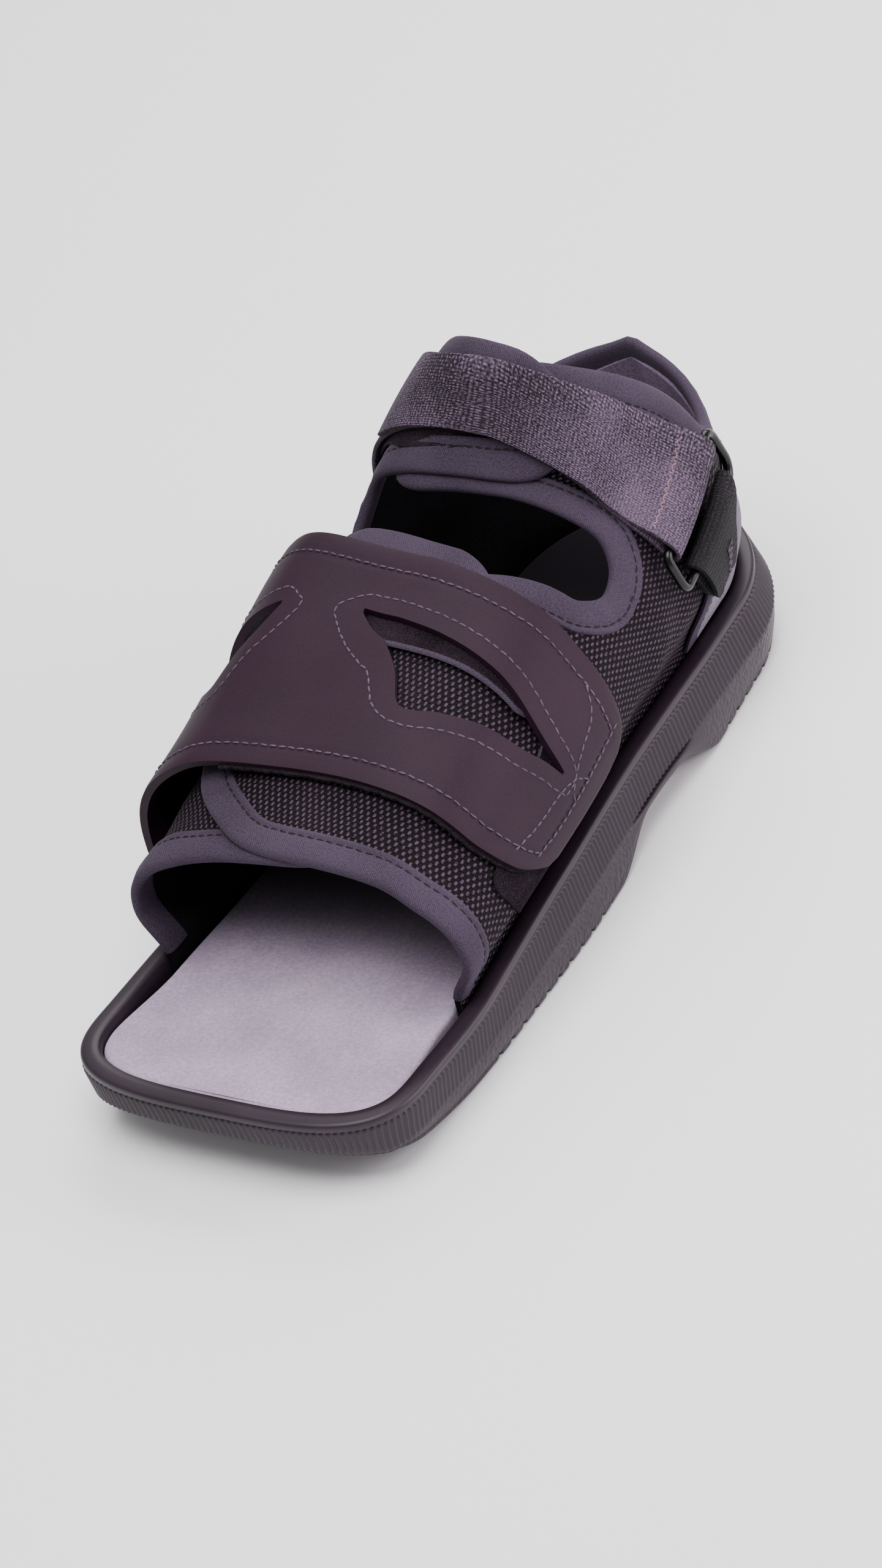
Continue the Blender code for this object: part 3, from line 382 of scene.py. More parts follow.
@dataclass(frozen=True)
class Finish:
    """One real material: its two colours, how it was made and the size of its pattern."""

    name: str
    dark: str
    light: str
    pattern: Pattern
    pitch: tuple = (2.0, 2.0)   # millimetres along the piece and across it
    depth: float = 0.3          # millimetres that the pattern stands up
    roughness: float = 0.9
    sheen: float = 0.0
    specular: float = 0.5
    wear: float = 0.25          # how far broad patches shift the colour
    inside: str = ""            # painted shade colour, mixed in where the piece's own shade mask is 1

    def cloth_pattern(self, tree, metres):
        """Weave or knit from the piece's own cloth map.

        Args:
            tree: Node tree.
            metres: Socket with the place on the cloth.

        Returns:
            Sockets for height and for the share of the light colour.
        """
        turns = tuple(TAU * 1000.0 / pitch for pitch in self.pitch) + (0.0,)
        scaled = add_node(tree, "ShaderNodeVectorMath", {0: metres, 1: turns}, operation="MULTIPLY")
        waves = add_node(tree, "ShaderNodeVectorMath", {0: scaled.outputs[0]}, operation="SINE")
        axes = add_node(tree, "ShaderNodeSeparateXYZ", {0: waves.outputs[0]})
        lobes = add_node(tree, "ShaderNodeMath", {0: axes.outputs[0], 1: axes.outputs[1]},
                         operation="MULTIPLY").outputs[0]
        fibre = add_node(tree, "ShaderNodeTexNoise",
                         {"Vector": metres, "Scale": 1000.0 / (0.35 * min(self.pitch)), "Detail": 2.0})
        grain = add_node(tree, "ShaderNodeMapRange", {"Value": fibre.outputs[0], 1: 0.30, 2: 0.68}).outputs[0]
        if self.pattern is Pattern.KNIT:
            shape = add_node(tree, "ShaderNodeMapRange",
                             {"Value": lobes, 1: 0.10, 2: 0.62, 3: 1.0, 4: 0.0},
                             interpolation_type="SMOOTHSTEP").outputs[0]
            light = add_node(tree, "ShaderNodeMapRange",
                             {"Value": lobes, 1: -0.70, 2: -0.10, 3: 1.0, 4: 0.0}).outputs[0]
        else:
            shape = add_node(tree, "ShaderNodeMath", {0: lobes}, operation="ABSOLUTE").outputs[0]
            light = add_node(tree, "ShaderNodeMath", {0: shape, 1: 0.70, 2: 0.35},
                             operation="MULTIPLY_ADD").outputs[0]
        height = add_node(tree, "ShaderNodeMath", {0: fibre.outputs[0], 1: 0.45, 2: shape},
                          operation="MULTIPLY_ADD").outputs[0]
        share = add_node(tree, "ShaderNodeMath", {0: light, 1: grain}, operation="MULTIPLY").outputs[0]
        low, high = (0.04, 0.50) if self.pattern is Pattern.KNIT else (0.12, 0.75)
        spread = add_node(tree, "ShaderNodeMapRange", {"Value": share, 1: low, 2: high}).outputs[0]
        return height, spread

    def fine_pattern(self, tree, metres):
        """Nap, grain, twill or pebble.

        Args:
            tree: Node tree.
            metres: Socket with the place on the piece.

        Returns:
            Sockets for height and for the share of the light colour.
        """
        scale = 1000.0 / self.pitch[0]
        if self.pattern is Pattern.PEBBLE:
            grit = add_node(tree, "ShaderNodeTexVoronoi", {"Vector": metres, "Scale": scale},
                            feature="SMOOTH_F1")
            mask = add_node(tree, "ShaderNodeAttribute", attribute_name="Pebble")
            height = add_node(tree, "ShaderNodeMath", {0: grit.outputs[0], 1: mask.outputs["Fac"]},
                              operation="MULTIPLY").outputs[0]
            fine = add_node(tree, "ShaderNodeTexNoise",
                            {"Vector": metres, "Scale": 2.5 * scale, "Detail": 3.0})
            return height, fine.outputs[0]
        detail = 6.0 if self.pattern is Pattern.NAP else 3.0
        fine = add_node(tree, "ShaderNodeTexNoise",
                        {"Vector": metres, "Scale": scale, "Detail": detail, "Roughness": 0.65})
        height = fine.outputs[0]
        if self.pattern is Pattern.TWILL:
            wave = add_node(tree, "ShaderNodeTexWave",
                            {"Vector": metres, "Scale": scale / 1.8, "Distortion": 1.0,
                             "Detail": 1.0}, bands_direction="DIAGONAL")
            height = add_node(tree, "ShaderNodeMath", {0: wave.outputs["Fac"], 1: 0.22, 2: height},
                              operation="MULTIPLY_ADD").outputs[0]
        share = add_node(tree, "ShaderNodeMapRange", {"Value": height, 1: 0.35, 2: 0.75}).outputs[0]
        return height, share

    def make(self) -> bpy.types.Material:
        """Material with the finish's nodes."""
        material = bpy.data.materials.new(self.name)
        material.use_nodes = True
        tree = material.node_tree
        shader = tree.nodes["Principled BSDF"]
        cloth = self.pattern in (Pattern.KNIT, Pattern.BASKET, Pattern.TWILL)
        if cloth:
            metres = add_node(tree, "ShaderNodeUVMap", uv_map="Cloth").outputs[0]
        else:
            metres = add_node(tree, "ShaderNodeTexCoord").outputs["Object"]
        weave = self.pattern in (Pattern.KNIT, Pattern.BASKET)
        height, share = (self.cloth_pattern if weave else self.fine_pattern)(tree, metres)
        place = add_node(tree, "ShaderNodeTexCoord").outputs["Object"]
        broad = add_node(tree, "ShaderNodeTexNoise", {"Vector": place, "Scale": 38.0, "Detail": 4.0})
        patch = add_node(tree, "ShaderNodeMapRange",
                         {"Value": broad.outputs[0], 1: 0.3, 2: 0.7, 3: -self.wear, 4: self.wear})
        mixed = add_node(tree, "ShaderNodeMath", {0: share, 1: patch.outputs[0]}, operation="ADD",
                         use_clamp=True)
        colour = add_node(tree, "ShaderNodeMix", {0: mixed.outputs[0], 6: linear(self.dark),
                                                  7: linear(self.light)}, data_type="RGBA")
        bump = add_node(tree, "ShaderNodeBump", {"Height": height, "Distance": self.depth * MM,
                                                 "Strength": 0.9})
        # Painted shade: the colour turns towards the dark shade colour where the piece's shade mask is 1
        if self.inside:
            mask = add_node(tree, "ShaderNodeAttribute", attribute_name="Inside")
            colour = add_node(tree, "ShaderNodeMix", {0: mask.outputs["Fac"], 6: colour.outputs[2],
                                                      7: linear(self.inside)}, data_type="RGBA")
        tree.links.new(colour.outputs[2], shader.inputs["Base Color"])
        tree.links.new(bump.outputs[0], shader.inputs["Normal"])
        shader.inputs["Roughness"].default_value = self.roughness
        shader.inputs["Specular IOR Level"].default_value = self.specular
        shader.inputs["Sheen Weight"].default_value = self.sheen
        shader.inputs["Sheen Roughness"].default_value = 0.5
        shader.inputs["Sheen Tint"].default_value = linear("#CDB9D2")
        return material


# Vulcanised rubber, moulded: near black with a soft shine on ribs and pebble
RUBBER = Finish("sole_rubber_moulded", "#170E16", "#291C28", Pattern.PEBBLE,
                (1.4, 1.4), 0.55, 0.45, specular=0.33)
# Brushed microfibre on foam: pale and quite matt; inside the shoe a painted shade makes it almost black
FOOTBED = Finish("insole_microfibre_brushed_painted_shade", "#8F8095", "#AC9DB1", Pattern.NAP,
                 (1.1, 1.1), 0.06, 0.95, 0.15, 0.2, wear=0.35, inside="#1B161D")
# Polyester spacer knit: black, with staggered lighter dashes of yarn
MESH = Finish("spacer_mesh_knitted", "#0D080D", "#473946", Pattern.KNIT,
              (3.6, 2.1), 0.45, 0.85, specular=0.12, wear=0.08)
# Brushed tricot lining: its own dark colour, made near black as painted shade for the inside of the shoe
LINING_PAINTED_SHADE = Finish("tricot_lining_brushed_painted_shade", "#0C0A0D", "#19151A", Pattern.NAP,
                (0.8, 0.8), 0.10, 0.95, specular=0.1)
# The same lining over foam, painted lighter: a lit copy of the lining for the collar
LINING_PAINTED_LIGHT = Finish("collar_lining_padded_painted_light", "#4A3E4E", "#6B5C71", Pattern.NAP,
                      (0.8, 0.8), 0.10, 0.95, 0.05, 0.1)
# Folded cotton and polyester tape
TAPE = Finish("binding_tape_woven", "#261E29", "#3F3544", Pattern.TWILL,
              (0.7, 0.7), 0.12, 0.9, 0.04, 0.15)
# Loop pile of a touch fastener: many tiny curls
PILE = Finish("loop_pile_knitted", "#0A070A", "#3D303C", Pattern.NAP,
              (0.45, 0.45), 0.9, 0.95, specular=0.1)
# Polyurethane coated foam: smooth, slightly satin
COATED = Finish("strap_polyurethane_coated", "#20101D", "#291624", Pattern.GRAIN,
                (0.5, 0.5), 0.04, 0.6, specular=0.15, wear=0.3)
# Cut edge and hook face under the forefoot strap
HOOK = Finish("hook_backing_cut", "#0F0B0F", "#33282F", Pattern.NAP,
              (0.5, 0.5), 0.5, 0.9, specular=0.15)
# Coarse nylon webbing, light and dark yarn mixed
WEBBING = Finish("nylon_webbing_woven", "#1A131C", "#6A586E", Pattern.BASKET,
                 (1.7, 1.7), 0.20, 0.8, specular=0.2)
TAB = Finish("ring_tab_webbing_woven", "#080709", "#2B262C", Pattern.BASKET,
             (1.6, 2.0), 0.35, 0.8, specular=0.2)
# Suede-like microfibre with a short nap
SUEDE = Finish("heel_microsuede_brushed", "#5A5560", "#7C7682", Pattern.NAP,
               (0.9, 0.9), 0.08, 0.95, 0.1, 0.1)
COUNTER = Finish("counter_cloth_laminated", "#181418", "#2E272E", Pattern.NAP,
                 (0.9, 0.9), 0.08, 0.9, 0.05, 0.15)
# Acetal ring, injection moulded and glossy
PLASTIC = Finish("acetal_ring_moulded", "#030303", "#060506", Pattern.GRAIN,
                 (2.0, 2.0), 0.01, 0.28, specular=0.3)
# Polyester sewing thread
THREAD = Finish("polyester_thread_twisted", "#3A303C", "#605363", Pattern.GRAIN,
                (0.4, 0.4), 0.06, 0.7, specular=0.2)
DARK_THREAD = Finish("dark_thread_twisted", "#0F0C10", "#211B22", Pattern.GRAIN,
                     (0.4, 0.4), 0.06, 0.7, specular=0.2)
ROSE_THREAD = Finish("rose_thread_twisted", "#5E4753", "#856A76", Pattern.GRAIN,
                     (0.4, 0.4), 0.06, 0.7, specular=0.2)


# Making of pieces
def select_only(*objs: bpy.types.Object) -> None:
    """Selects these objects alone; the first is active."""
    bpy.ops.object.select_all(action="DESELECT")
    for obj in objs:
        obj.select_set(True)
    bpy.context.view_layer.objects.active = objs[0]


def lay_grid(name: str, points, cloth=None) -> bpy.types.Object:
    """Adds a grid and lays its rows and columns on points.

    Args:
        name: Name of the piece.
        points: Array of rows, columns and x, y, z.
        cloth: Array of rows, columns and the place on the flat cloth in metres.

    Returns:
        The object, at the origin.
    """
    rows, columns = points.shape[:2]
    bpy.ops.object.select_all(action="DESELECT")
    bpy.ops.mesh.primitive_grid_add(x_subdivisions=columns - 1, y_subdivisions=rows - 1, size=1.0)
    obj = bpy.context.active_object
    obj.name = name
    obj.data.name = name
    obj.data.vertices.foreach_set("co", np.ascontiguousarray(points, dtype=np.float32).ravel())
    layer = obj.data.uv_layers[0]
    layer.name = "Cloth"
    if cloth is None:
        cloth = cloth_map(points)
    index = np.empty(len(obj.data.loops), dtype=np.int32)
    obj.data.loops.foreach_get("vertex_index", index)
    flat = np.ascontiguousarray(cloth, dtype=np.float32).reshape(-1, 2)[index]
    layer.data.foreach_set("uv", flat.ravel())
    obj.data.update()
    return obj


def cloth_map(points):
    """Place on the flat cloth: mean distance along the columns and along the rows."""
    across = np.linalg.norm(np.diff(points, axis=1), axis=-1).mean(axis=0)
    up = np.linalg.norm(np.diff(points, axis=0), axis=-1).mean(axis=1)
    u = np.concatenate(([0.0], np.cumsum(across)))
    v = np.concatenate(([0.0], np.cumsum(up)))
    return np.stack(np.meshgrid(u, v), axis=-1)


def edit(obj: bpy.types.Object, *steps) -> None:
    """Runs edit mode steps on the whole mesh of one object."""
    select_only(obj)
    bpy.ops.object.mode_set(mode="EDIT")
    bpy.ops.mesh.select_all(action="SELECT")
    for step in steps:
        step()
    bpy.ops.object.mode_set(mode="OBJECT")


def weld() -> None:
    """Merges vertices that lie on each other."""
    bpy.ops.mesh.remove_doubles(threshold=0.00001)


def outwards() -> None:
    """Turns the faces of a closed shell outwards."""
    bpy.ops.mesh.normals_make_consistent(inside=False)


def join(name: str, *objs: bpy.types.Object) -> bpy.types.Object:
    """Joins objects into one piece of this name."""
    select_only(*objs)
    if len(objs) > 1:
        bpy.ops.object.join()
    objs[0].name = name
    return objs[0]


def shape(obj: bpy.types.Object, kind: str, **settings) -> None:
    """Adds a modifier with its settings and applies it."""
    modifier = obj.modifiers.new(kind.lower(), kind)
    for name, value in settings.items():
        setattr(modifier, name, value)
    select_only(obj)
    bpy.ops.object.modifier_apply(modifier=modifier.name)


def thicken(obj: bpy.types.Object, thickness: float, offset: float = -1.0, inner: int = 0,
            rim: int = 0) -> None:
    """Gives a sheet its wall.

    Args:
        obj: Sheet with its faces outwards.
        thickness: Wall in metres.
        offset: -1 puts the wall inside the faces.
        inner: Material of the inner face, counted from the outer one's.
        rim: Material of the edge.
    """
    shape(obj, "SOLIDIFY", thickness=thickness, offset=offset, use_even_offset=False,
          material_offset=inner, material_offset_rim=rim)


MADE: dict = {}


def dress(obj: bpy.types.Object, *finishes: Finish) -> None:
    """Puts finishes in the object's material slots, each made once."""
    obj.data.materials.clear()
    for finish in finishes:
        if finish.name not in MADE:
            MADE[finish.name] = finish.make()
        obj.data.materials.append(MADE[finish.name])


def hand_over(obj: bpy.types.Object, slot: str, *nodes: str, angle: float = 50.0) -> None:
    """Smooths a finished piece, lets it ride and hides the solids it stands for."""
    select_only(obj)
    bpy.ops.object.shade_smooth_by_angle(angle=math.radians(angle))
    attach(obj, "root")
    if nodes:
        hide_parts(*nodes)
    LOG.info("piece %s: %d faces", obj.name, len(obj.data.polygons))


def resample(path, spacing: float, closed: bool = False):
    """Even points along a path.

    Args:
        path: Array of points.
        spacing: Distance between the new points in metres.
        closed: Whether the last point runs on to the first.

    Returns:
        Array of evenly spaced points, and the distance of each from the start.
    """
    path = np.asarray(path, float)
    if closed:
        path = np.vstack((path, path[:1]))
    reach = np.concatenate(([0.0], np.cumsum(np.linalg.norm(np.diff(path[:, :3], axis=0), axis=1))))
    count = max(int(round(reach[-1] / spacing)), 2)
    even = np.linspace(0.0, reach[-1], count + 1)
    if closed:
        even = even[:-1]
    columns = [np.interp(even, reach, path[:, k]) for k in range(path.shape[1])]
    return np.stack(columns, axis=1), even


def sew(name: str, paths: list, finish: Finish, pitch: float = 3.4 * MM, dash: float = 0.78,
        width: float = 0.42 * MM) -> bpy.types.Object:
    """Rows of stitches: one stitch is modelled, and copied along the paths.

    Args:
        name: Name of the piece.
        paths: Arrays of points and normals (six columns) on the outer face.
        finish: Thread.
        pitch: Distance from stitch to stitch in metres.
        dash: Share of the pitch that the stitch covers.
        width: Half width of the thread in metres.

    Returns:
        The joined stitches.
    """
    bpy.ops.object.select_all(action="DESELECT")
    bpy.ops.mesh.primitive_uv_sphere_add(segments=6, ring_count=4, radius=1.0)
    pattern = bpy.context.active_object
    pattern.name = name
    unit = np.array([v.co for v in pattern.data.vertices], float)
    faces = [tuple(p.vertices) for p in pattern.data.polygons]
    places, layout = [], []
    for path in paths:
        even, _reach = resample(path, pitch)
        middle = (even[:-1] + even[1:]) / 2
        run = even[1:, :3] - even[:-1, :3]
        run /= np.linalg.norm(run, axis=1, keepdims=True)
        up = middle[:, 3:] / np.linalg.norm(middle[:, 3:], axis=1, keepdims=True)
        across = np.cross(up, run)
        for k in range(len(middle)):
            tilt = 0.12 * math.sin(k * 2.4)
            lengthwise = run[k] + across[k] * tilt
            body = (unit[:, 2:3] * lengthwise * pitch * dash / 2 + unit[:, 0:1] * across[k] * width
                    + unit[:, 1:2] * up[k] * width * 0.9 + up[k] * width * 0.15)
            layout += [tuple(i + len(places) * len(unit) for i in face) for face in faces]
            places.append(middle[k, :3] + body)
    mesh = bpy.data.meshes.new(name)
    mesh.from_pydata(np.concatenate(places).tolist(), [], layout)
    pattern.data = mesh
    dress(pattern, finish)
    edit(pattern, outwards)
    return pattern


@dataclass
class Outsole:
    """Moulded rocker sole: tread with cross grooves, ribbed band, round rim and cup."""

    last: Last
    ribs: int = 336
    points_per_rib: int = 5
    rib_band: float = 0.0120
    rib_drop: float = 0.0030
    tread_edge: float = 0.0015
    rim_round: float = 0.0013
    groove_width: float = 0.0022
    groove_depth: float = 0.0015
    groove_pitch: float = 0.0070
    grooved: tuple = ((0.235, 0.470), (0.765, 0.905))

    def ring(self, out, height, rib: float = 0.0, share: float = 1.0):
        """One closed row of points round the sole.

        Args:
            out: Distance out of the rim's outline.
            height: Height above the floor.
            rib: How much of the ribs' depth stands here.
            share: Share of the way out from the middle line.

        Returns:
            Array of points.
        """
        point, outward = self.rim
        out = out + rib * self.last.rib_depth * self.rib
        x = (point[:, 0] + outward[:, 0] * out) * share
        s = point[:, 1] + outward[:, 1] * out
        return np.stack((self.sign * x, s, height + 0 * s), axis=1) + self.last.origin

    def grooves(self, along):
        """Depth of the cross grooves at each place."""
        s = along * self.last.length
        depth = np.zeros_like(s)
        for start, end in self.grooved:
            first = start * self.last.length
            off = np.abs((s - first + self.groove_pitch / 2) % self.groove_pitch - self.groove_pitch / 2)
            inside = (s > first - self.groove_pitch / 2) & (along < end + 0.005)
            cut = 1 - ramp(self.groove_width / 2 - 0.3 * MM, self.groove_width / 2 + 0.2 * MM, off)
            depth += np.where(inside, cut, 0.0) * self.groove_depth
        return depth

    def build(self) -> None:
        """Lays the sole's rows on one grid, and closes it."""
        last = self.last
        count = self.ribs * self.points_per_rib
        share = np.arange(count + 1) / count
        self.sign = np.where(share <= 0.5, 1.0, -1.0)
        self.rim = last.rim(np.where(share <= 0.5, share, 1 - share) * 2 * last.half_girth)
        phase = np.arange(count + 1) / self.points_per_rib
        self.rib = (0.5 + 0.5 * np.cos(TAU * phase)) ** 0.7
        along = np.clip(self.rim[0][:, 1] / last.length, 0.0, 1.0)
        foot = last.ball_width * last.side.at(2, along)
        belly = last.ball_width * last.side.at(3, along)
        tread, rim = last.tread_z(along), last.rim_z(along)
        cut = self.grooves(along)
        band = np.maximum(rim - self.rib_drop - self.rib_band, tread + 1.6 * self.tread_edge)
        band_top = rim - self.rib_drop
        rows, pebble = [], []

        def row(out, height, rib: float = 0.0, share: float = 1.0, grit: float = 0.0) -> None:
            rows.append(self.ring(out, height, rib, share))
            pebble.append(np.full(count + 1, grit))

        for part in (0.0, 0.35, 0.7, 0.93):
            row(foot - self.tread_edge, tread + cut, share=part, grit=0.3)
        row(foot - self.tread_edge, tread + cut, grit=0.6)
        row(foot - 0.3 * self.tread_edge, tread + 0.35 * self.tread_edge + cut * 0.9, grit=0.8)
        row(foot, tread + self.tread_edge + cut * 0.7, grit=1.0)
        row(foot, tread + 1.5 * self.tread_edge + cut * 0.1, grit=1.0)
        for t in (0.2, 0.45, 0.7, 0.9):
            bulge = 0.6 * MM * math.sin(math.pi * t)
            low = tread + 1.5 * self.tread_edge
            row(foot + (belly - foot) * t + bulge, low + (band - low) * t, grit=1.0)
        row(belly, band - 0.25 * MM, grit=0.6)
        for t, rib in ((0.0, 0.0), (0.05, 0.9), (0.12, 1.0), (0.5, 1.0), (0.9, 1.0), (0.97, 0.6), (1.0, 0.0)):
            row(belly * (1 - t), band + (band_top - band) * t, rib)
        row(0.35 * MM, band_top + 0.35 * MM)
        for degrees in (0, 30, 60, 90):
            turn = math.radians(degrees)
            row(0.35 * MM - self.rim_round * (1 - math.cos(turn)),
                rim - self.rim_round * (1 - math.sin(turn)))
        row(-0.5 * last.rim_width, rim + 0.15 * MM)
        row(-last.rim_width + 0.8 * MM, rim)
        row(-last.rim_width, rim - 0.8 * MM)
        for part in (1.0, 0.6, 0.0):
            row(-last.rim_width, last.cup_z(along), share=part)
        sole = lay_grid("outsole_moulded", np.stack(rows))
        mask = 1 - ramp(0.53, 0.56, along) * (1 - ramp(0.70, 0.73, along))
        grit = np.stack(pebble) * mask
        layer = sole.data.attributes.new("Pebble", "FLOAT", "POINT")
        layer.data.foreach_set("value", grit.astype(np.float32).ravel())
        edit(sole, weld, outwards)
        dress(sole, RUBBER)
        hand_over(sole, "sole_rubber", "outsole", angle=60)


@dataclass
class Footbed:
    """Soft insole that lies in the cup, its top just under the rim."""

    last: Last
    count: int = 360
    round_edge: float = 0.0016
    opening: float = 0.200
    narrowing: float = 0.080
    # Share of the length over which the painted shade inside the shoe grows from none to full
    inside: tuple = (0.225, 0.360)

    def build(self) -> None:
        """Lays base, edge and crowned top on one grid."""
        last = self.last
        share = np.arange(self.count + 1) / self.count
        sign = np.where(share <= 0.5, 1.0, -1.0)
        point, outward = last.rim(np.where(share <= 0.5, share, 1 - share) * 2 * last.half_girth)
        along = np.clip(point[:, 1] / last.length, 0.0, 1.0)
        top = last.rim_z(along) - last.insole_drop
        room = last.wall + last.step + 3 * last.gap
        inset = last.rim_width + last.gap + room * ramp(self.narrowing, self.opening - 0.008, along)
        base = top - last.insole_thickness

        def row(off: float, height, part: float = 1.0):
            out = -(inset + off)
            x = (point[:, 0] + outward[:, 0] * out) * part
            s = point[:, 1] + outward[:, 1] * out
            dent = ripple(s, (0.083, 0.4, 0.12 * MM), (0.047, 1.9, 0.08 * MM)) * (1 - part ** 4)
            return np.stack((sign * x, s, height + dent), axis=1) + last.origin

        rows = [row(0.3 * MM, base, part) for part in (0.0, 0.6, 1.0)]
        rows += [row(0.0, base + (top - self.round_edge - base) * t) for t in (0.1, 0.5, 1.0)]
        for degrees in (30, 60, 90):
            turn = math.radians(degrees)
            rows.append(row(self.round_edge * (1 - math.cos(turn)),
                            top - self.round_edge * (1 - math.sin(turn))))
        for part in (0.97, 0.9, 0.8, 0.65, 0.5, 0.35, 0.2, 0.0):
            rows.append(row(self.round_edge, top + 0.25 * MM * (1 - part ** 2), part))
        points = np.stack(rows)
        bed = lay_grid("insole_footbed", points)
        # Painted shade: a mask from 0 to 1 that darkens the footbed inside the upper
        deep = (points[..., 1] - last.origin[1]) / last.length
        layer = bed.data.attributes.new("Inside", "FLOAT", "POINT")
        layer.data.foreach_set("value", ramp(*self.inside, deep).astype(np.float32).ravel())
        edit(bed, weld, outwards)
        dress(bed, FOOTBED)
        hand_over(bed, "insole_fabric", "insole")


@dataclass(frozen=True)
class Crease:
    """A fold of the empty upper: a soft valley between two places of one side."""

    side: int
    start: tuple
    end: tuple
    depth: float
    width: float

    def push(self, last: Last, side: int, along, over):
        """How far the fold moves the cloth at each place."""
        if side != self.side:
            return np.zeros(np.broadcast(along, over).shape)
        scale = np.array((last.length, last.over_girth))
        a, b = np.array(self.start) * scale, np.array(self.end) * scale
        spot = np.stack(np.broadcast_arrays(along * scale[0], over * scale[1]), -1)
        run = b - a
        t = np.clip(((spot - a) @ run) / (run @ run), 0.0, 1.0)
        off = np.linalg.norm(spot - a - t[..., None] * run, axis=-1)
        return self.depth * np.exp(-(off / self.width) ** 2) * np.sin(math.pi * (0.15 + 0.7 * t))


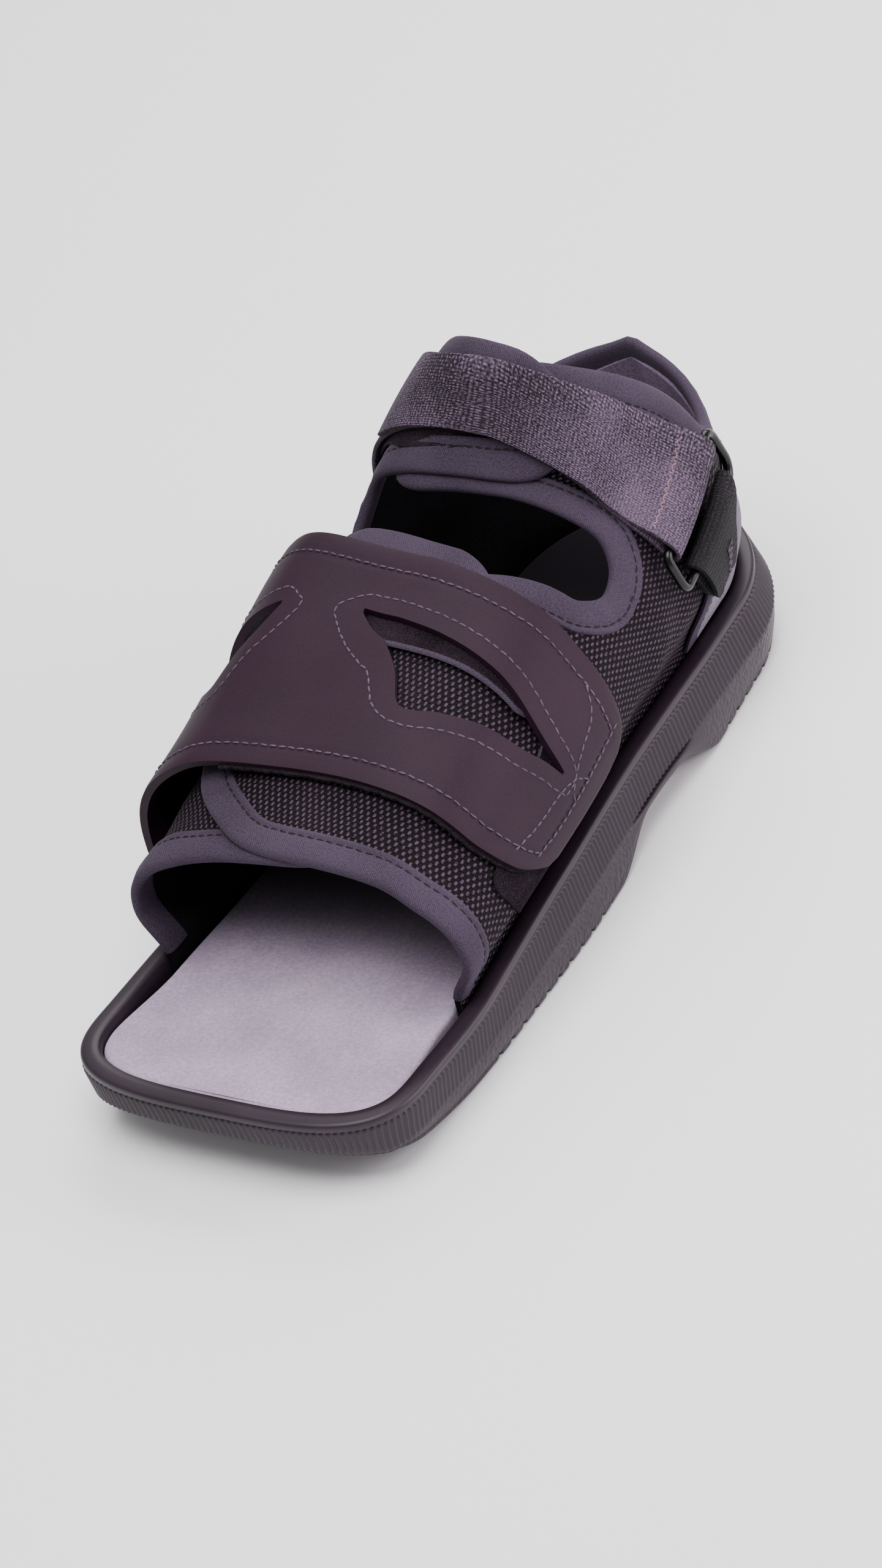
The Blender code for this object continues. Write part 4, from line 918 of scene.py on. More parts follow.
@dataclass
class Upper:
    """Fabric shell of two quarters with their flaps, its bound edge and its seams."""

    last: Last
    front_columns: int = 46
    hole_columns: int = 12
    ankle_columns: int = 28
    heel_columns: int = 26
    band_rows: int = 26
    front_rows: int = 38
    ankle_rows: int = 30
    tape_width: float = 0.0102
    tape_inside: float = 0.0080
    apex_rise: float = 0.012
    collar_swell: float = 0.0016
    seam_in: float = 0.0079
    creases: tuple = (
        Crease(1, (0.30, 0.75), (0.24, 1.25), -0.0008, 0.006),
        Crease(1, (0.62, -0.35), (0.66, 0.20), -0.0009, 0.006),
        Crease(1, (0.69, -0.25), (0.74, 0.10), -0.0008, 0.005),
        Crease(1, (0.26, -0.30), (0.34, 0.15), 0.0007, 0.007),
        Crease(1, (0.60, 0.00), (0.52, -0.40), -0.0007, 0.006),
        Crease(1, (0.74, 0.95), (0.82, 1.10), -0.0008, 0.005),
        Crease(-1, (0.24, 0.20), (0.30, 0.75), -0.0009, 0.007),
        Crease(-1, (0.62, 0.00), (0.70, 0.35), -0.0011, 0.007),
        Crease(-1, (0.74, 0.60), (0.82, 0.85), -0.0008, 0.006),
        Crease(-1, (0.90, 0.00), (0.88, 0.40), -0.0008, 0.006),
    )

    def lift(self, lifted: float, over):
        """Height of a flap that lies on the other one."""
        return lifted * self.last.overlap * ramp(0.42, 0.64, over)

    def puff(self, side: int, along, over):
        """Soft unevenness of the cloth: creases, a padded collar and a slight ripple."""
        last = self.last
        total = sum(fold.push(last, side, along, over) for fold in self.creases)
        top = last.edge_over(side, along)
        collar = self.collar_swell * hill(0.0, 0.16, over - top + 0.20) * ramp(0.87, 0.92, along)
        wave = ripple(along * last.length + 0.3 * over * last.over_girth, (0.031, 0.5, 0.12 * MM),
                      (0.019, 2.1, 0.07 * MM))
        soft = (total + wave * ramp(-0.7, -0.3, over) + collar) * ramp(-0.75, -0.45, over)
        panelled = ramp(0.73, 0.76, along) * (1 - ramp(0.08, 0.18, over))
        return soft - np.maximum(soft, 0.0) * panelled

    def swell(self, around, over):
        """The same unevenness by a place that runs round the heel."""
        along = fold_back(around)
        return np.where(around > 1.0, self.puff(-1, along, over), self.puff(1, along, over))

    def columns(self, side: int) -> tuple:
        """Places of the columns of one side, from the toe opening to the middle of the heel."""
        front = (NEAR_FRONT if side > 0 else FAR_FRONT).rows[0][1]
        return (np.linspace(front, 0.614, self.front_columns + 1),
                np.linspace(0.614, 0.683, self.hole_columns + 1),
                np.linspace(0.683, 0.885, self.ankle_columns + 1),
                np.linspace(0.885, 1.0, self.heel_columns + 1))

    def flap(self, side: int, table: Table, lifted: float, along, rows: int):
        """Places of a flap above the wall's top row.

        Args:
            side: +1 near, -1 far.
            table: Outline of the flap.
            lifted: 1 where the flap lies on the other one.
            along: Columns at its root.
            rows: Number of rows.

        Returns:
            Arrays of along, over and lift.
        """
        root = self.last.edge_over(side, along)
        t = np.linspace(0.0, 1.0, rows + 1)[:, None]
        over = root[None, :] + (table.last() - root[None, :]) * t
        share = (along - along[0]) / (along[-1] - along[0])
        front, back = table.at(1, over), table.at(2, over)
        place = along[None, :] + (front + (back - front) * share - along[None, :]) * ramp(0.0, 0.12, t)
        return place, over, self.lift(lifted, over)

    def build(self) -> None:
        """Makes the cloth, its bound edge and the stitches."""
        last = self.last
        grids, outline = [], []
        for side, front_flap, ankle_flap in ((1, NEAR_FRONT, NEAR_ANKLE), (-1, FAR_FRONT, FAR_ANKLE)):
            parts = self.columns(side)
            band = np.concatenate((parts[0], parts[1][1:], parts[2][1:], parts[3][1:]))
            t = np.linspace(0.0, 1.0, self.band_rows + 1)[:, None] ** 0.85
            over = -1.0 + (last.edge_over(side, band)[None, :] + 1.0) * t
            along = np.broadcast_to(band, over.shape)
            layout = [(along, over, 0.0 * over)]
            layout.append(self.flap(side, front_flap, float(side > 0), parts[0], self.front_rows))
            layout.append(self.flap(side, ankle_flap, float(side < 0), parts[2], self.ankle_rows))
            for k, (place, height, lift) in enumerate(layout):
                puff = self.puff(side, place, height)
                points = last.place(side, place, height, lift + last.wall + puff)
                girth = last.length * place
                if side < 0:
                    girth = girth + 0.001
                up = last.surface(side, place, height)
                rise = np.concatenate((np.zeros((1, up.shape[1])), np.cumsum(
                    np.linalg.norm(np.diff(up, axis=0), axis=-1), axis=0)))
                if k:
                    start = np.interp(place[0], band, base)
                    rise = rise + start
                else:
                    base = rise[-1]
                cloth = np.stack((girth, rise), axis=-1)
                if side > 0:
                    grids.append(lay_grid(f"quarter_{side}_{k}", points, cloth))
                else:
                    grids.append(lay_grid(f"quarter_{side}_{k}", points[:, ::-1], cloth[:, ::-1]))
            outline.append(self.edge_path(side, layout, parts))
        cloth = join("upper_mesh_shell", *grids)
        edit(cloth, weld)
        self.face_out(cloth)
        # Painted shade: the inner face and edges take the near black copy of the lining
        dress(cloth, MESH, LINING_PAINTED_SHADE)
        thicken(cloth, last.wall, inner=1, rim=1)
        hand_over(cloth, "upper_mesh", "upper")
        path = np.concatenate((outline[0], outline[1][::-1]))
        self.bind(path)

    @staticmethod
    def face_out(obj: bpy.types.Object) -> None:
        """Turns an open shell round if most of its faces look inwards."""
        mesh = obj.data
        centre = np.array([v.co for v in mesh.vertices]).mean(axis=0)
        total = 0.0
        for face in mesh.polygons:
            total += face.area * float(np.dot(np.array(face.normal), np.array(face.center) - centre))
        if total < 0:
            edit(obj, bpy.ops.mesh.flip_normals)

    def edge_path(self, side: int, layout: list, parts: tuple):
        """Free edge of one side from the cup at the toe to the middle of the heel.

        Returns:
            Array of around, over and the share of the overlap's lift.
        """
        band, front, ankle = layout
        first = len(parts[0]) - 1
        second = first + len(parts[1]) - 1
        third = second + len(parts[2]) - 1

        def run(grid: tuple, pick, lifted: float):
            along, over = grid[0][pick], grid[1][pick]
            around = along if side > 0 else 2.0 - along
            return np.stack((around, over, np.full(len(over), lifted)), axis=1)

        front_lift, ankle_lift = float(side > 0), float(side < 0)
        pieces = [
            run(band, (slice(None), 0), 0.0)[6:], run(front, (slice(None), 0), front_lift),
            run(front, (-1, slice(None)), front_lift), run(front, (slice(None, None, -1), -1), front_lift),
            run(band, (-1, slice(first + 1, second)), 0.0),
            run(ankle, (slice(None), 0), ankle_lift), run(ankle, (-1, slice(None)), ankle_lift),
            run(ankle, (slice(None, None, -1), -1), ankle_lift),
            run(band, (-1, slice(third + 1, None)), 0.0)]
        return np.concatenate(pieces)

    def bind(self, path) -> None:
        """Folds the tape over the free edge and sews it.

        Args:
            path: Free edge of the whole upper as around, over and share of lift.
        """
        last = self.last
        scale = np.array((last.length, last.over_girth, 0.004))
        even, _reach = resample(path * scale, 2.0 * MM)
        for _turn in range(5):
            even[1:-1] = 0.25 * even[:-2] + 0.5 * even[1:-1] + 0.25 * even[2:]
        even = even / scale
        even[:, 1] += self.apex_rise * hill(1.0, 0.010, even[:, 0])

        def spot(around, over, height):
            lift = self.lift(1.0, over) * even[:, 2]
            return last.round_place(around, over, lift + height)

        around, over = even[:, 0], even[:, 1]
        here = spot(around, over, 0.0)
        run = np.gradient(here, axis=0)
        run /= np.linalg.norm(run, axis=1, keepdims=True)
        side = np.where(around > 1.0, -1.0, 1.0)
        normal = last.normal(side, fold_back(around), over)
        inward = np.cross(run, normal)
        d_around, d_over = 0.004, 0.02
        by_around = (spot(around + d_around, over, 0) - spot(around - d_around, over, 0)) / (2 * d_around)
        by_over = (spot(around, over + d_over, 0) - spot(around, over - d_over, 0)) / (2 * d_over)
        aa, bb = (by_around ** 2).sum(1), (by_over ** 2).sum(1)
        ab = (by_around * by_over).sum(1)
        ra, rb = (by_around * inward).sum(1), (by_over * inward).sum(1)
        det = aa * bb - ab * ab
        step_around, step_over = (bb * ra - ab * rb) / det, (aa * rb - ab * ra) / det
        for _turn in range(8):
            for step in (step_around, step_over):
                step[1:-1] = 0.25 * step[:-2] + 0.5 * step[1:-1] + 0.25 * step[2:]
        reach = np.concatenate(([0.0], np.cumsum(np.linalg.norm(np.diff(here, axis=0), axis=1))))
        at_hole = hill(0.650, 0.035, fold_back(around)) * (1 - ramp(0.55, 0.85, over))
        pucker = ((0.10 + 0.28 * at_hole) * MM * np.cos(TAU * reach / (5.7 * MM))
                  + ripple(reach, (0.023, 1.0, 0.10 * MM)))
        wall = last.wall
        profile = (
            (self.tape_width, wall - 0.3 * MM, 0.0),
            (self.tape_width - 0.1 * MM, wall + 0.75 * MM, 0.3),
            (self.tape_width - 0.9 * MM, wall + 0.95 * MM, 0.6),
            (self.seam_in + 0.8 * MM, wall + 0.85 * MM, 0.8), (self.seam_in, wall + 0.45 * MM, 0.0),
            (self.seam_in - 0.8 * MM, wall + 0.85 * MM, 1.0), (6.0 * MM, wall + 0.95 * MM, 1.0),
            (4.0 * MM, wall + 1.0 * MM, 1.0), (2.0 * MM, wall + 0.9 * MM, 1.0),
            (0.6 * MM, wall + 0.65 * MM, 0.6), (-0.5 * MM, wall + 0.2 * MM, 0.2), (-0.8 * MM, wall / 2, 0.0),
            (-0.5 * MM, -0.1 * MM, 0.0), (0.6 * MM, -0.6 * MM, 0.0), (2.5 * MM, -0.8 * MM, -0.6),
            (5.0 * MM, -0.8 * MM, -0.6), (self.tape_inside, -0.6 * MM, 0.0),
            (self.tape_inside + 0.1 * MM, 0.3 * MM, 0.0))
        rows = []
        for inset, height, share in profile:
            here_around, here_over = around + step_around * inset, over + step_over * inset
            soft = self.swell(here_around, here_over) + pucker * share
            rows.append(spot(here_around, here_over, height + soft))
        tape = lay_grid("upper_edge_binding", np.stack(rows))
        self.tape_out(tape, normal, len(profile))
        dress(tape, TAPE)
        hand_over(tape, "binding_tape", angle=70)
        seam_around, seam_over = around + step_around * self.seam_in, over + step_over * self.seam_in
        seam = spot(seam_around, seam_over, wall + 0.55 * MM + self.swell(seam_around, seam_over))
        stitches = sew("upper_edge_stitches", [np.hstack((seam, normal))], DARK_THREAD, 3.2 * MM,
                       width=0.36 * MM)
        hand_over(stitches, "binding_tape")

    @staticmethod
    def tape_out(tape: bpy.types.Object, normal, rows: int) -> None:
        """Turns the tape round if its outer rows look inwards."""
        columns = len(normal)
        face = tape.data.polygons[(rows // 3) * (columns - 1) + columns // 8]
        if float(np.dot(np.array(face.normal), normal[columns // 8])) < 0:
            edit(tape, bpy.ops.mesh.flip_normals)


@dataclass
class Band:
    """Strap or panel laid on the near side's places, with its two edges in a table."""

    last: Last
    outline: Table

    def grid(self, overs, lifts, columns: int, relief=None):
        """Rows of points on the outer face.

        Args:
            overs: Place over the foot of each row.
            lifts: Height of each row over the upper's inner face.
            columns: Faces across.
            relief: Extra height by row and column.

        Returns:
            Array of rows, columns and x, y, z.
        """
        front, back = self.outline.at(1, overs), self.outline.at(2, overs)
        share = np.linspace(0.0, 1.0, columns + 1)
        along = front[:, None] + (back - front)[:, None] * share
        height = lifts[:, None] + (0.0 if relief is None else relief)
        return self.last.place(1.0, along, np.broadcast_to(overs[:, None], along.shape),
                               np.broadcast_to(height, along.shape))


@dataclass
class ForefootStrap:
    """Wide coated strap with a fin shaped window on each side, on its hook backing."""

    last: Last
    thickness: float = 0.0025
    pile: float = 0.0012
    bulge: float = 0.0040
    rows: int = 170
    columns: int = 56
    seam_in: float = 0.0070
    window_seam: float = 0.0055
    stitch_sink: float = 0.00002
    seam_clear: float = 0.93

    def top(self, over):
        """Outside of the bound flaps."""
        last = self.last
        return last.wall + last.gap + (last.overlap + last.step) * ramp(0.34, 0.60, over)

    def seat(self, over):
        """Height of the strap's inner face."""
        high = self.top(over) + self.pile + self.last.gap + self.bulge * ramp(1.05, 1.45, over)
        return high + (self.last.wall + self.last.gap - high) * ramp(2.05, 2.50, over)

    def relief(self, overs):
        """Seam valleys and soft waves of the strap's face."""
        front, back = STRAP_OUTLINE.at(1, overs), STRAP_OUTLINE.at(2, overs)
        share = np.linspace(0.0, 1.0, self.columns + 1)
        width = ((back - front) * self.last.length)[:, None]
        from_edge = np.minimum(share, 1 - share) * width
        from_end = (overs - overs[0])[:, None] * self.last.over_girth
        edge = np.minimum(from_edge, from_end + 0 * share)
        along = front[:, None] + (back - front)[:, None] * share
        valley = -0.30 * MM * hill(self.seam_in, 0.9 * MM, edge) - 0.25 * MM * (1 - ramp(0.0, 1.2 * MM, edge))
        return valley + self.wave(along, overs[:, None])

    def wave(self, along, over):
        """Soft waves of the strap's face."""
        place = along * self.last.length + 0.35 * over * self.last.over_girth
        return ripple(place, (0.052, 0.8, 0.12 * MM), (0.033, 2.6, 0.06 * MM)) * ramp(0.2, 0.5, over)

    def window_line(self, mirror: bool):
        """Closed seam at an even distance round a window, as along and over."""
        overs = np.linspace(STRAP_WINDOW.first(), STRAP_WINDOW.last(), 60)
        front, back = STRAP_WINDOW.at(1, overs), STRAP_WINDOW.at(2, overs)
        ring = np.concatenate((np.stack((front, overs), 1), np.stack((back, overs), 1)[::-1]))
        scale = np.array((self.last.length, self.last.over_girth))
        even, _reach = resample(ring * scale, 1.0 * MM, closed=True)
        run = np.roll(even, -1, axis=0) - np.roll(even, 1, axis=0)
        out = np.stack((run[:, 1], -run[:, 0]), 1)
        out /= np.linalg.norm(out, axis=1, keepdims=True)
        outside = np.sign(np.sum(out * (even - even.mean(axis=0))))
        moved = even + out * self.window_seam * outside
        off = np.array([np.min(np.linalg.norm(even - spot, axis=1)) for spot in moved])
        line = moved[off > self.seam_clear * self.window_seam]
        line = np.vstack((line, line[:1])) / scale
        return line * (1, -1) + (0, 2 * WINDOW_MIDDLE) if mirror else line

    def cutter(self, mirror: bool) -> bpy.types.Object:
        """Body that cuts a window through the strap."""
        overs = np.linspace(STRAP_WINDOW.first(), STRAP_WINDOW.last(), 90)
        front, back = STRAP_WINDOW.at(1, overs), STRAP_WINDOW.at(2, overs)
        place = 2 * WINDOW_MIDDLE - overs if mirror else overs
        along = np.linspace(front, back, 9).T
        over = np.broadcast_to(place[:, None], along.shape)
        lift = self.seat(over) + 2.2 * self.thickness
        points = self.last.place(1.0, along, over, lift)
        body = lay_grid("window_cutter", points[::-1] if mirror else points)
        thicken(body, 3.6 * self.thickness)
        edit(body, outwards)
        return body

    def build(self) -> None:
        """Makes the strap, cuts its windows and sews its seams."""
        last = self.last
        first, end = STRAP_OUTLINE.first(), STRAP_OUTLINE.last()
        overs = first + (end - first) * np.linspace(0, 1, self.rows + 1) ** 1.12
        band = Band(last, STRAP_OUTLINE)
        points = band.grid(overs, self.seat(overs) + self.thickness, self.columns, self.relief(overs))
        strap = lay_grid("forefoot_strap_face", points)
        thicken(strap, self.thickness, inner=1, rim=1)
        edit(strap, outwards)
        dress(strap, COATED, HOOK)
        for mirror in (False, True):
            body = self.cutter(mirror)
            shape(strap, "BOOLEAN", operation="DIFFERENCE", solver="EXACT", object=body)
            bpy.data.objects.remove(body, do_unlink=True)
        hand_over(strap, "strap_face", "forefoot_strap", angle=38)
        self.backing(overs)
        self.seams()

    def backing(self, overs) -> None:
        """Rough edge of the hook face, which shows round the strap's edge."""
        last = self.last
        rows = overs[overs < 1.3]
        grow = 0.9 * MM / last.length
        wobble = 0.35 * MM / last.length
        front = STRAP_OUTLINE.at(1, rows) - grow - wobble * np.sin(rows * 151.0) * np.sin(rows * 67.0)
        back = front + 0.016
        share = np.linspace(0.0, 1.0, 9)
        along = front[:, None] + (back - front)[:, None] * share
        over = np.broadcast_to(rows[:, None], along.shape)
        fuzz = 0.15 * MM * np.sin(np.arange(along.size).reshape(along.shape) * 2.4)
        points = last.place(1.0, along, over, self.seat(over) + 0.55 * MM + fuzz)
        strip = lay_grid("forefoot_hook_edge", points)
        thicken(strip, 0.9 * MM)
        dress(strip, HOOK)
        hand_over(strip, "strap_face")

    def line(self, places):
        """Points and normals on the strap's face for along and over places."""
        along, over = places[:, 0], places[:, 1]
        height = self.seat(over) + self.thickness - self.stitch_sink + self.wave(along, over)
        return np.hstack((self.last.place(1.0, along, over, height), self.last.normal(1.0, along, over)))

    def seams(self) -> None:
        """Stitches along the edges, round the windows and across the near end."""
        last = self.last
        overs = np.linspace(0.085, STRAP_OUTLINE.last(), 220)
        inset = self.seam_in / last.length
        front = np.stack((STRAP_OUTLINE.at(1, overs) + inset, overs), 1)
        back = np.stack((STRAP_OUTLINE.at(2, overs) - inset, overs), 1)
        end = self.curve((0.352, 0.085), (0.395, 0.065), (0.470, 0.070), (0.546, 0.085))
        cross_rear = self.curve((0.539, 0.30), (0.520, 0.20), (0.475, 0.17), (0.440, 0.11), (0.436, 0.068))
        cross_front = self.curve((0.332, 0.20), (0.375, 0.165), (0.420, 0.160), (0.452, 0.135), (0.470, 0.07))
        paths = [front, back, end, cross_rear, cross_front]
        paths += [self.window_line(mirror) for mirror in (False, True)]
        lines = [self.line(path) for path in paths]
        stitches = sew("forefoot_strap_stitches", lines, THREAD, 3.1 * MM, 0.80, 0.34 * MM)
        hand_over(stitches, "strap_face")

    @staticmethod
    def curve(*places: tuple):
        """Smooth path through a few places."""
        marks = np.array(places, float)
        t = np.linspace(0, 1, 40)
        knots = np.linspace(0, 1, len(marks))
        path = np.stack([np.interp(t, knots, marks[:, k]) for k in (0, 1)], 1)
        for _turn in range(12):
            path[1:-1] = 0.25 * path[:-2] + 0.5 * path[1:-1] + 0.25 * path[2:]
        return path


@dataclass
class LoopPanel:
    """Loop pile sewn on the forefoot: pile behind a ridge, and a corner in front of the strap."""

    last: Last
    strap: ForefootStrap
    outline: Table = Table((
        (-0.20, 0.318, 0.500), (0.00, 0.302, 0.520), (0.17, 0.294, 0.535), (0.24, 0.330, 0.545),
        (0.32, 0.452, 0.548), (0.50, 0.460, 0.550), (0.72, 0.472, 0.550), (1.00, 0.476, 0.545),
        (1.20, 0.480, 0.535)))
    ridge: float = 0.0020
    rows: int = 190
    columns: int = 90

    def build(self) -> None:
        """Lays the pile with its curls, and the flat woven ridge along its front edge."""
        last = self.last
        overs = np.linspace(self.outline.first(), self.outline.last(), self.rows + 1)
        band = Band(last, self.outline)
        curl = 0.22 * MM * np.sin(np.arange((self.rows + 1) * (self.columns + 1)) * 1.7)
        relief = curl.reshape(self.rows + 1, self.columns + 1)
        points = band.grid(overs, self.strap.top(overs) + self.strap.pile, self.columns, relief)
        pile = lay_grid("loop_panel_pile", points)
        thicken(pile, self.strap.pile - 0.25 * MM)
        dress(pile, PILE)
        hand_over(pile, "loop_pile", "loop_panel")
        rows = np.linspace(0.27, self.outline.last(), 90)
        front = self.outline.at(1, rows) - 0.4 * MM / last.length
        along = front[:, None] + np.linspace(0, self.ridge / last.length, 7)
        over = np.broadcast_to(rows[:, None], along.shape)
        crown = 0.5 * MM * np.sin(np.linspace(0, math.pi, 7)) ** 0.6
        points = last.place(1.0, along, over, self.strap.top(over) + self.strap.pile + crown - 0.2 * MM)
        edge = lay_grid("loop_panel_ridge", points)
        thicken(edge, 0.8 * MM)
        dress(edge, TAPE)
        hand_over(edge, "loop_pile")


@dataclass
class Quarters:
    """Grey upright strips, light panels behind them and the darker counter round the heel."""

    last: Last
    play: float = 0.0006
    panel: float = 0.0010
    rim_play: float = 0.0010
    strip_width: float = 0.0070
    strip_top: float = 0.07
    panel_end: float = 0.930

    def bottom(self, around):
        """Place over the foot just above the sole's rim."""
        last = self.last
        along = fold_back(around)
        share = last.rim(last.reach_of(along))[0][..., 1] / last.length
        low = last.cup_z(share) + last.gap
        waist = last.crest_height * last.sections.at(3, along)
        return (last.rim_z(share) + self.rim_play - low) / (waist - low) - 1.0

    def lay(self, name: str, side: int, overs, front, back, columns: int, crown: float):
        """Grid between two edges of one side, with a soft crown.

        Args:
            name: Name of the piece.
            side: +1 near, -1 far.
            overs: Places over the foot of the rows.
            front: Front edge of each row.
            back: Back edge of each row.
            columns: Faces across.
            crown: Height of the padding in metres.

        Returns:
            The thickened object.
        """
        last = self.last
        share = np.linspace(0.0, 1.0, columns + 1)
        around = front[:, None] + (back - front)[:, None] * share
        if side < 0:
            around = 2.0 - around
        rise = np.linspace(0.0, 1.0, len(overs))[:, None]
        over = overs[:, None] + (self.bottom(around) - overs[0]) * (1 - rise) ** 2
        soft = crown * (1 - np.abs(2 * share - 1) ** 4) * (1 - np.abs(2 * rise - 1) ** 6)
        points = last.round_place(around, over, last.wall + self.play + self.panel + soft)
        panel = lay_grid(name, points if side > 0 else points[:, ::-1])
        thicken(panel, self.panel)
        return panel

    def build(self) -> None:
        """Makes the pieces of both sides and the counter."""
        last = self.last
        overs = np.linspace(STRIP_PLACE.first(), self.strip_top, 33)
        middle = STRIP_PLACE.at(1, overs)
        half = self.strip_width / last.length / 2
        gap = last.gap / last.length
        for side, name in ((1, "near"), (-1, "far")):
            strip = self.lay(f"side_strip_{name}", side, overs, middle - half, middle + half, 8, 0.7 * MM)
            dress(strip, TAPE)
            hand_over(strip, "binding_tape", f"side_binding_{name}")
            back = np.full_like(middle, self.panel_end - gap)
            panel = self.lay(f"heel_suede_{name}", side, overs, middle + half + gap, back, 26, 0.9 * MM)
            dress(panel, SUEDE)
            hand_over(panel, "heel_suede", f"heel_panel_{name}")
            for edge, offset in (("front", half - 1.2 * MM / last.length), ("back", None)):
                around = middle + offset if offset is not None else back - 2.2 * MM / last.length
                around = around if side > 0 else 2.0 - around
                lift = last.wall + self.play + self.panel + 0.45 * MM
                line = last.round_place(around, overs, lift)
                normal = last.normal(float(side), fold_back(around), overs)
                seam = sew(f"heel_seam_{name}_{edge}", [np.hstack((line, normal))], DARK_THREAD, 2.8 * MM)
                hand_over(seam, "binding_tape")
        around_start = np.full_like(overs, self.panel_end)
        counter = self.lay("heel_counter_cloth", 1, overs, around_start, 2.0 - around_start, 48, 0.9 * MM)
        dress(counter, COUNTER)
        hand_over(counter, "counter_cloth", "heel_counter")


@dataclass
class AnkleFastening:
    """Webbing strap through a ring, the short tab that holds the ring, and the pile it sticks to."""

    last: Last
    webbing: float = 0.0014
    bar: float = 0.0030
    depth: float = 0.0095
    beside: float = 0.0030
    corner: float = 0.0025
    play: float = 0.0006
    bar_play: float = 0.0004
    panel: float = 0.0010
    bar_ramp: float = 0.22
    strap_end: float = 1.45
    zigzags: int = 25
    zigzag_start: float = 0.100
    zigzag_height: float = 0.018

    def __post_init__(self) -> None:
        """Works out the seat on the quarter's panels, and the ring's place."""
        self.panel_seat = self.last.wall + self.panel + 2 * self.play
        self.bar_over = ANKLE_OUTLINE.first()
        self.radius = self.bar / 2 + self.bar_play + self.webbing / 2
        self.bar_lift = float(self.lift(self.bar_over)) + self.webbing / 2 + self.radius
        self.low = self.bar_over - self.depth / self.last.over_girth

    def lift(self, over):
        """Inner face of the strap over the flaps."""
        near = self.last.wall + self.last.step + self.play
        top = near + self.last.overlap
        ends = ((self.panel_seat - near) * (1 - ramp(0.27, 0.45, over))
                + (self.panel_seat - top) * ramp(1.62, 1.90, over))
        return near + (top - near) * ramp(0.52, 0.70, over) + ends

    def turn(self, over: float, start: float, end: float, count: int = 14):
        """Half turn round a bar as over and lift."""
        angle = np.radians(np.linspace(start, end, count + 1))
        return np.stack((over + self.radius * np.cos(angle) / self.last.over_girth,
                         self.bar_lift + self.radius * np.sin(angle)), 1)

    def lay(self, name: str, path, outline: Table, columns: int, finish: Finish, slot: str, *nodes: str):
        """Webbing along a path of over and lift, with rounded selvedges.

        Args:
            name: Name of the piece.
            path: Rows of over and lift of the webbing's middle.
            outline: Table of its edges.
            columns: Faces across.
            finish: Its material.
            slot: Not used.
            nodes: Solids it stands for.

        Returns:
            The object.
        """
        girth = self.last.over_girth
        flat = path * (girth, 1.0)
        even, reach = resample(np.hstack((flat, np.zeros((len(flat), 1)))), 1.2 * MM)
        even = even[:, :2]
        overs, lifts = even[:, 0] / girth, even[:, 1]
        front, back = outline.at(1, overs), outline.at(2, overs)
        share = np.linspace(0.0, 1.0, columns + 1)
        along = front[:, None] + (back - front)[:, None] * share
        wave = ripple(reach, (0.037, 0.6, 0.15 * MM), (0.021, 2.2, 0.08 * MM))[:, None]
        fade = ramp(0.35, 0.7, overs)[:, None]
        points = self.last.place(1.0, along, np.broadcast_to(overs[:, None], along.shape),
                                 np.broadcast_to(lifts[:, None] + wave * fade, along.shape))
        width = ((back - front) * self.last.length)[:, None] * share
        cloth = np.stack((width, np.broadcast_to(reach[:, None], width.shape)), -1)
        strap = lay_grid(name, points, cloth)
        thicken(strap, self.webbing, offset=0.0)
        edit(strap, outwards)
        shape(strap, "BEVEL", width=0.35 * MM, segments=2, limit_method="ANGLE",
              angle_limit=math.radians(60))
        dress(strap, finish)
        hand_over(strap, slot, *nodes, angle=60)
        return strap

    def build(self) -> None:
        """Makes the strap, the ring, its tab and the pile under the strap."""
        end = ANKLE_OUTLINE.last()
        overs = np.linspace(end, self.bar_over, 90)[:-1]
        inner = np.stack((overs, self.lift(overs) + self.webbing / 2), 1)
        back_overs = np.linspace(self.bar_over + 0.10, self.strap_end, 60)
        lift = self.lift(back_overs) + self.webbing * 1.5 + self.last.gap
        by_bar = 1 - ramp(self.bar_over, self.bar_over + self.bar_ramp, back_overs)
        lift = lift + (self.bar_lift + self.radius - lift) * by_bar
        outer = np.stack((back_overs, lift), 1)
        path = np.concatenate((inner, self.turn(self.bar_over, -90, -270), outer))
        self.lay("ankle_strap_webbing", path, ANKLE_OUTLINE, 24, WEBBING, "strap_webbing", "ankle_strap")
        turns = np.arange(self.zigzags)
        over = self.bar_over + self.zigzag_start + self.zigzag_height * (turns % 2)
        front, back = ANKLE_OUTLINE.at(1, over), ANKLE_OUTLINE.at(2, over)
        along = front + (back - front) * (0.06 + 0.88 * turns / turns[-1])
        face = np.interp(over, back_overs, lift) + self.webbing / 2
        line = np.hstack((self.last.place(1.0, along, over, face), self.last.normal(1.0, along, over)))
        row = sew("ankle_strap_zigzag", [line], ROSE_THREAD, 1.8 * MM, 0.95, 0.36 * MM)
        hand_over(row, "strap_webbing")
        self.ring()
        self.tab()
        self.patch()

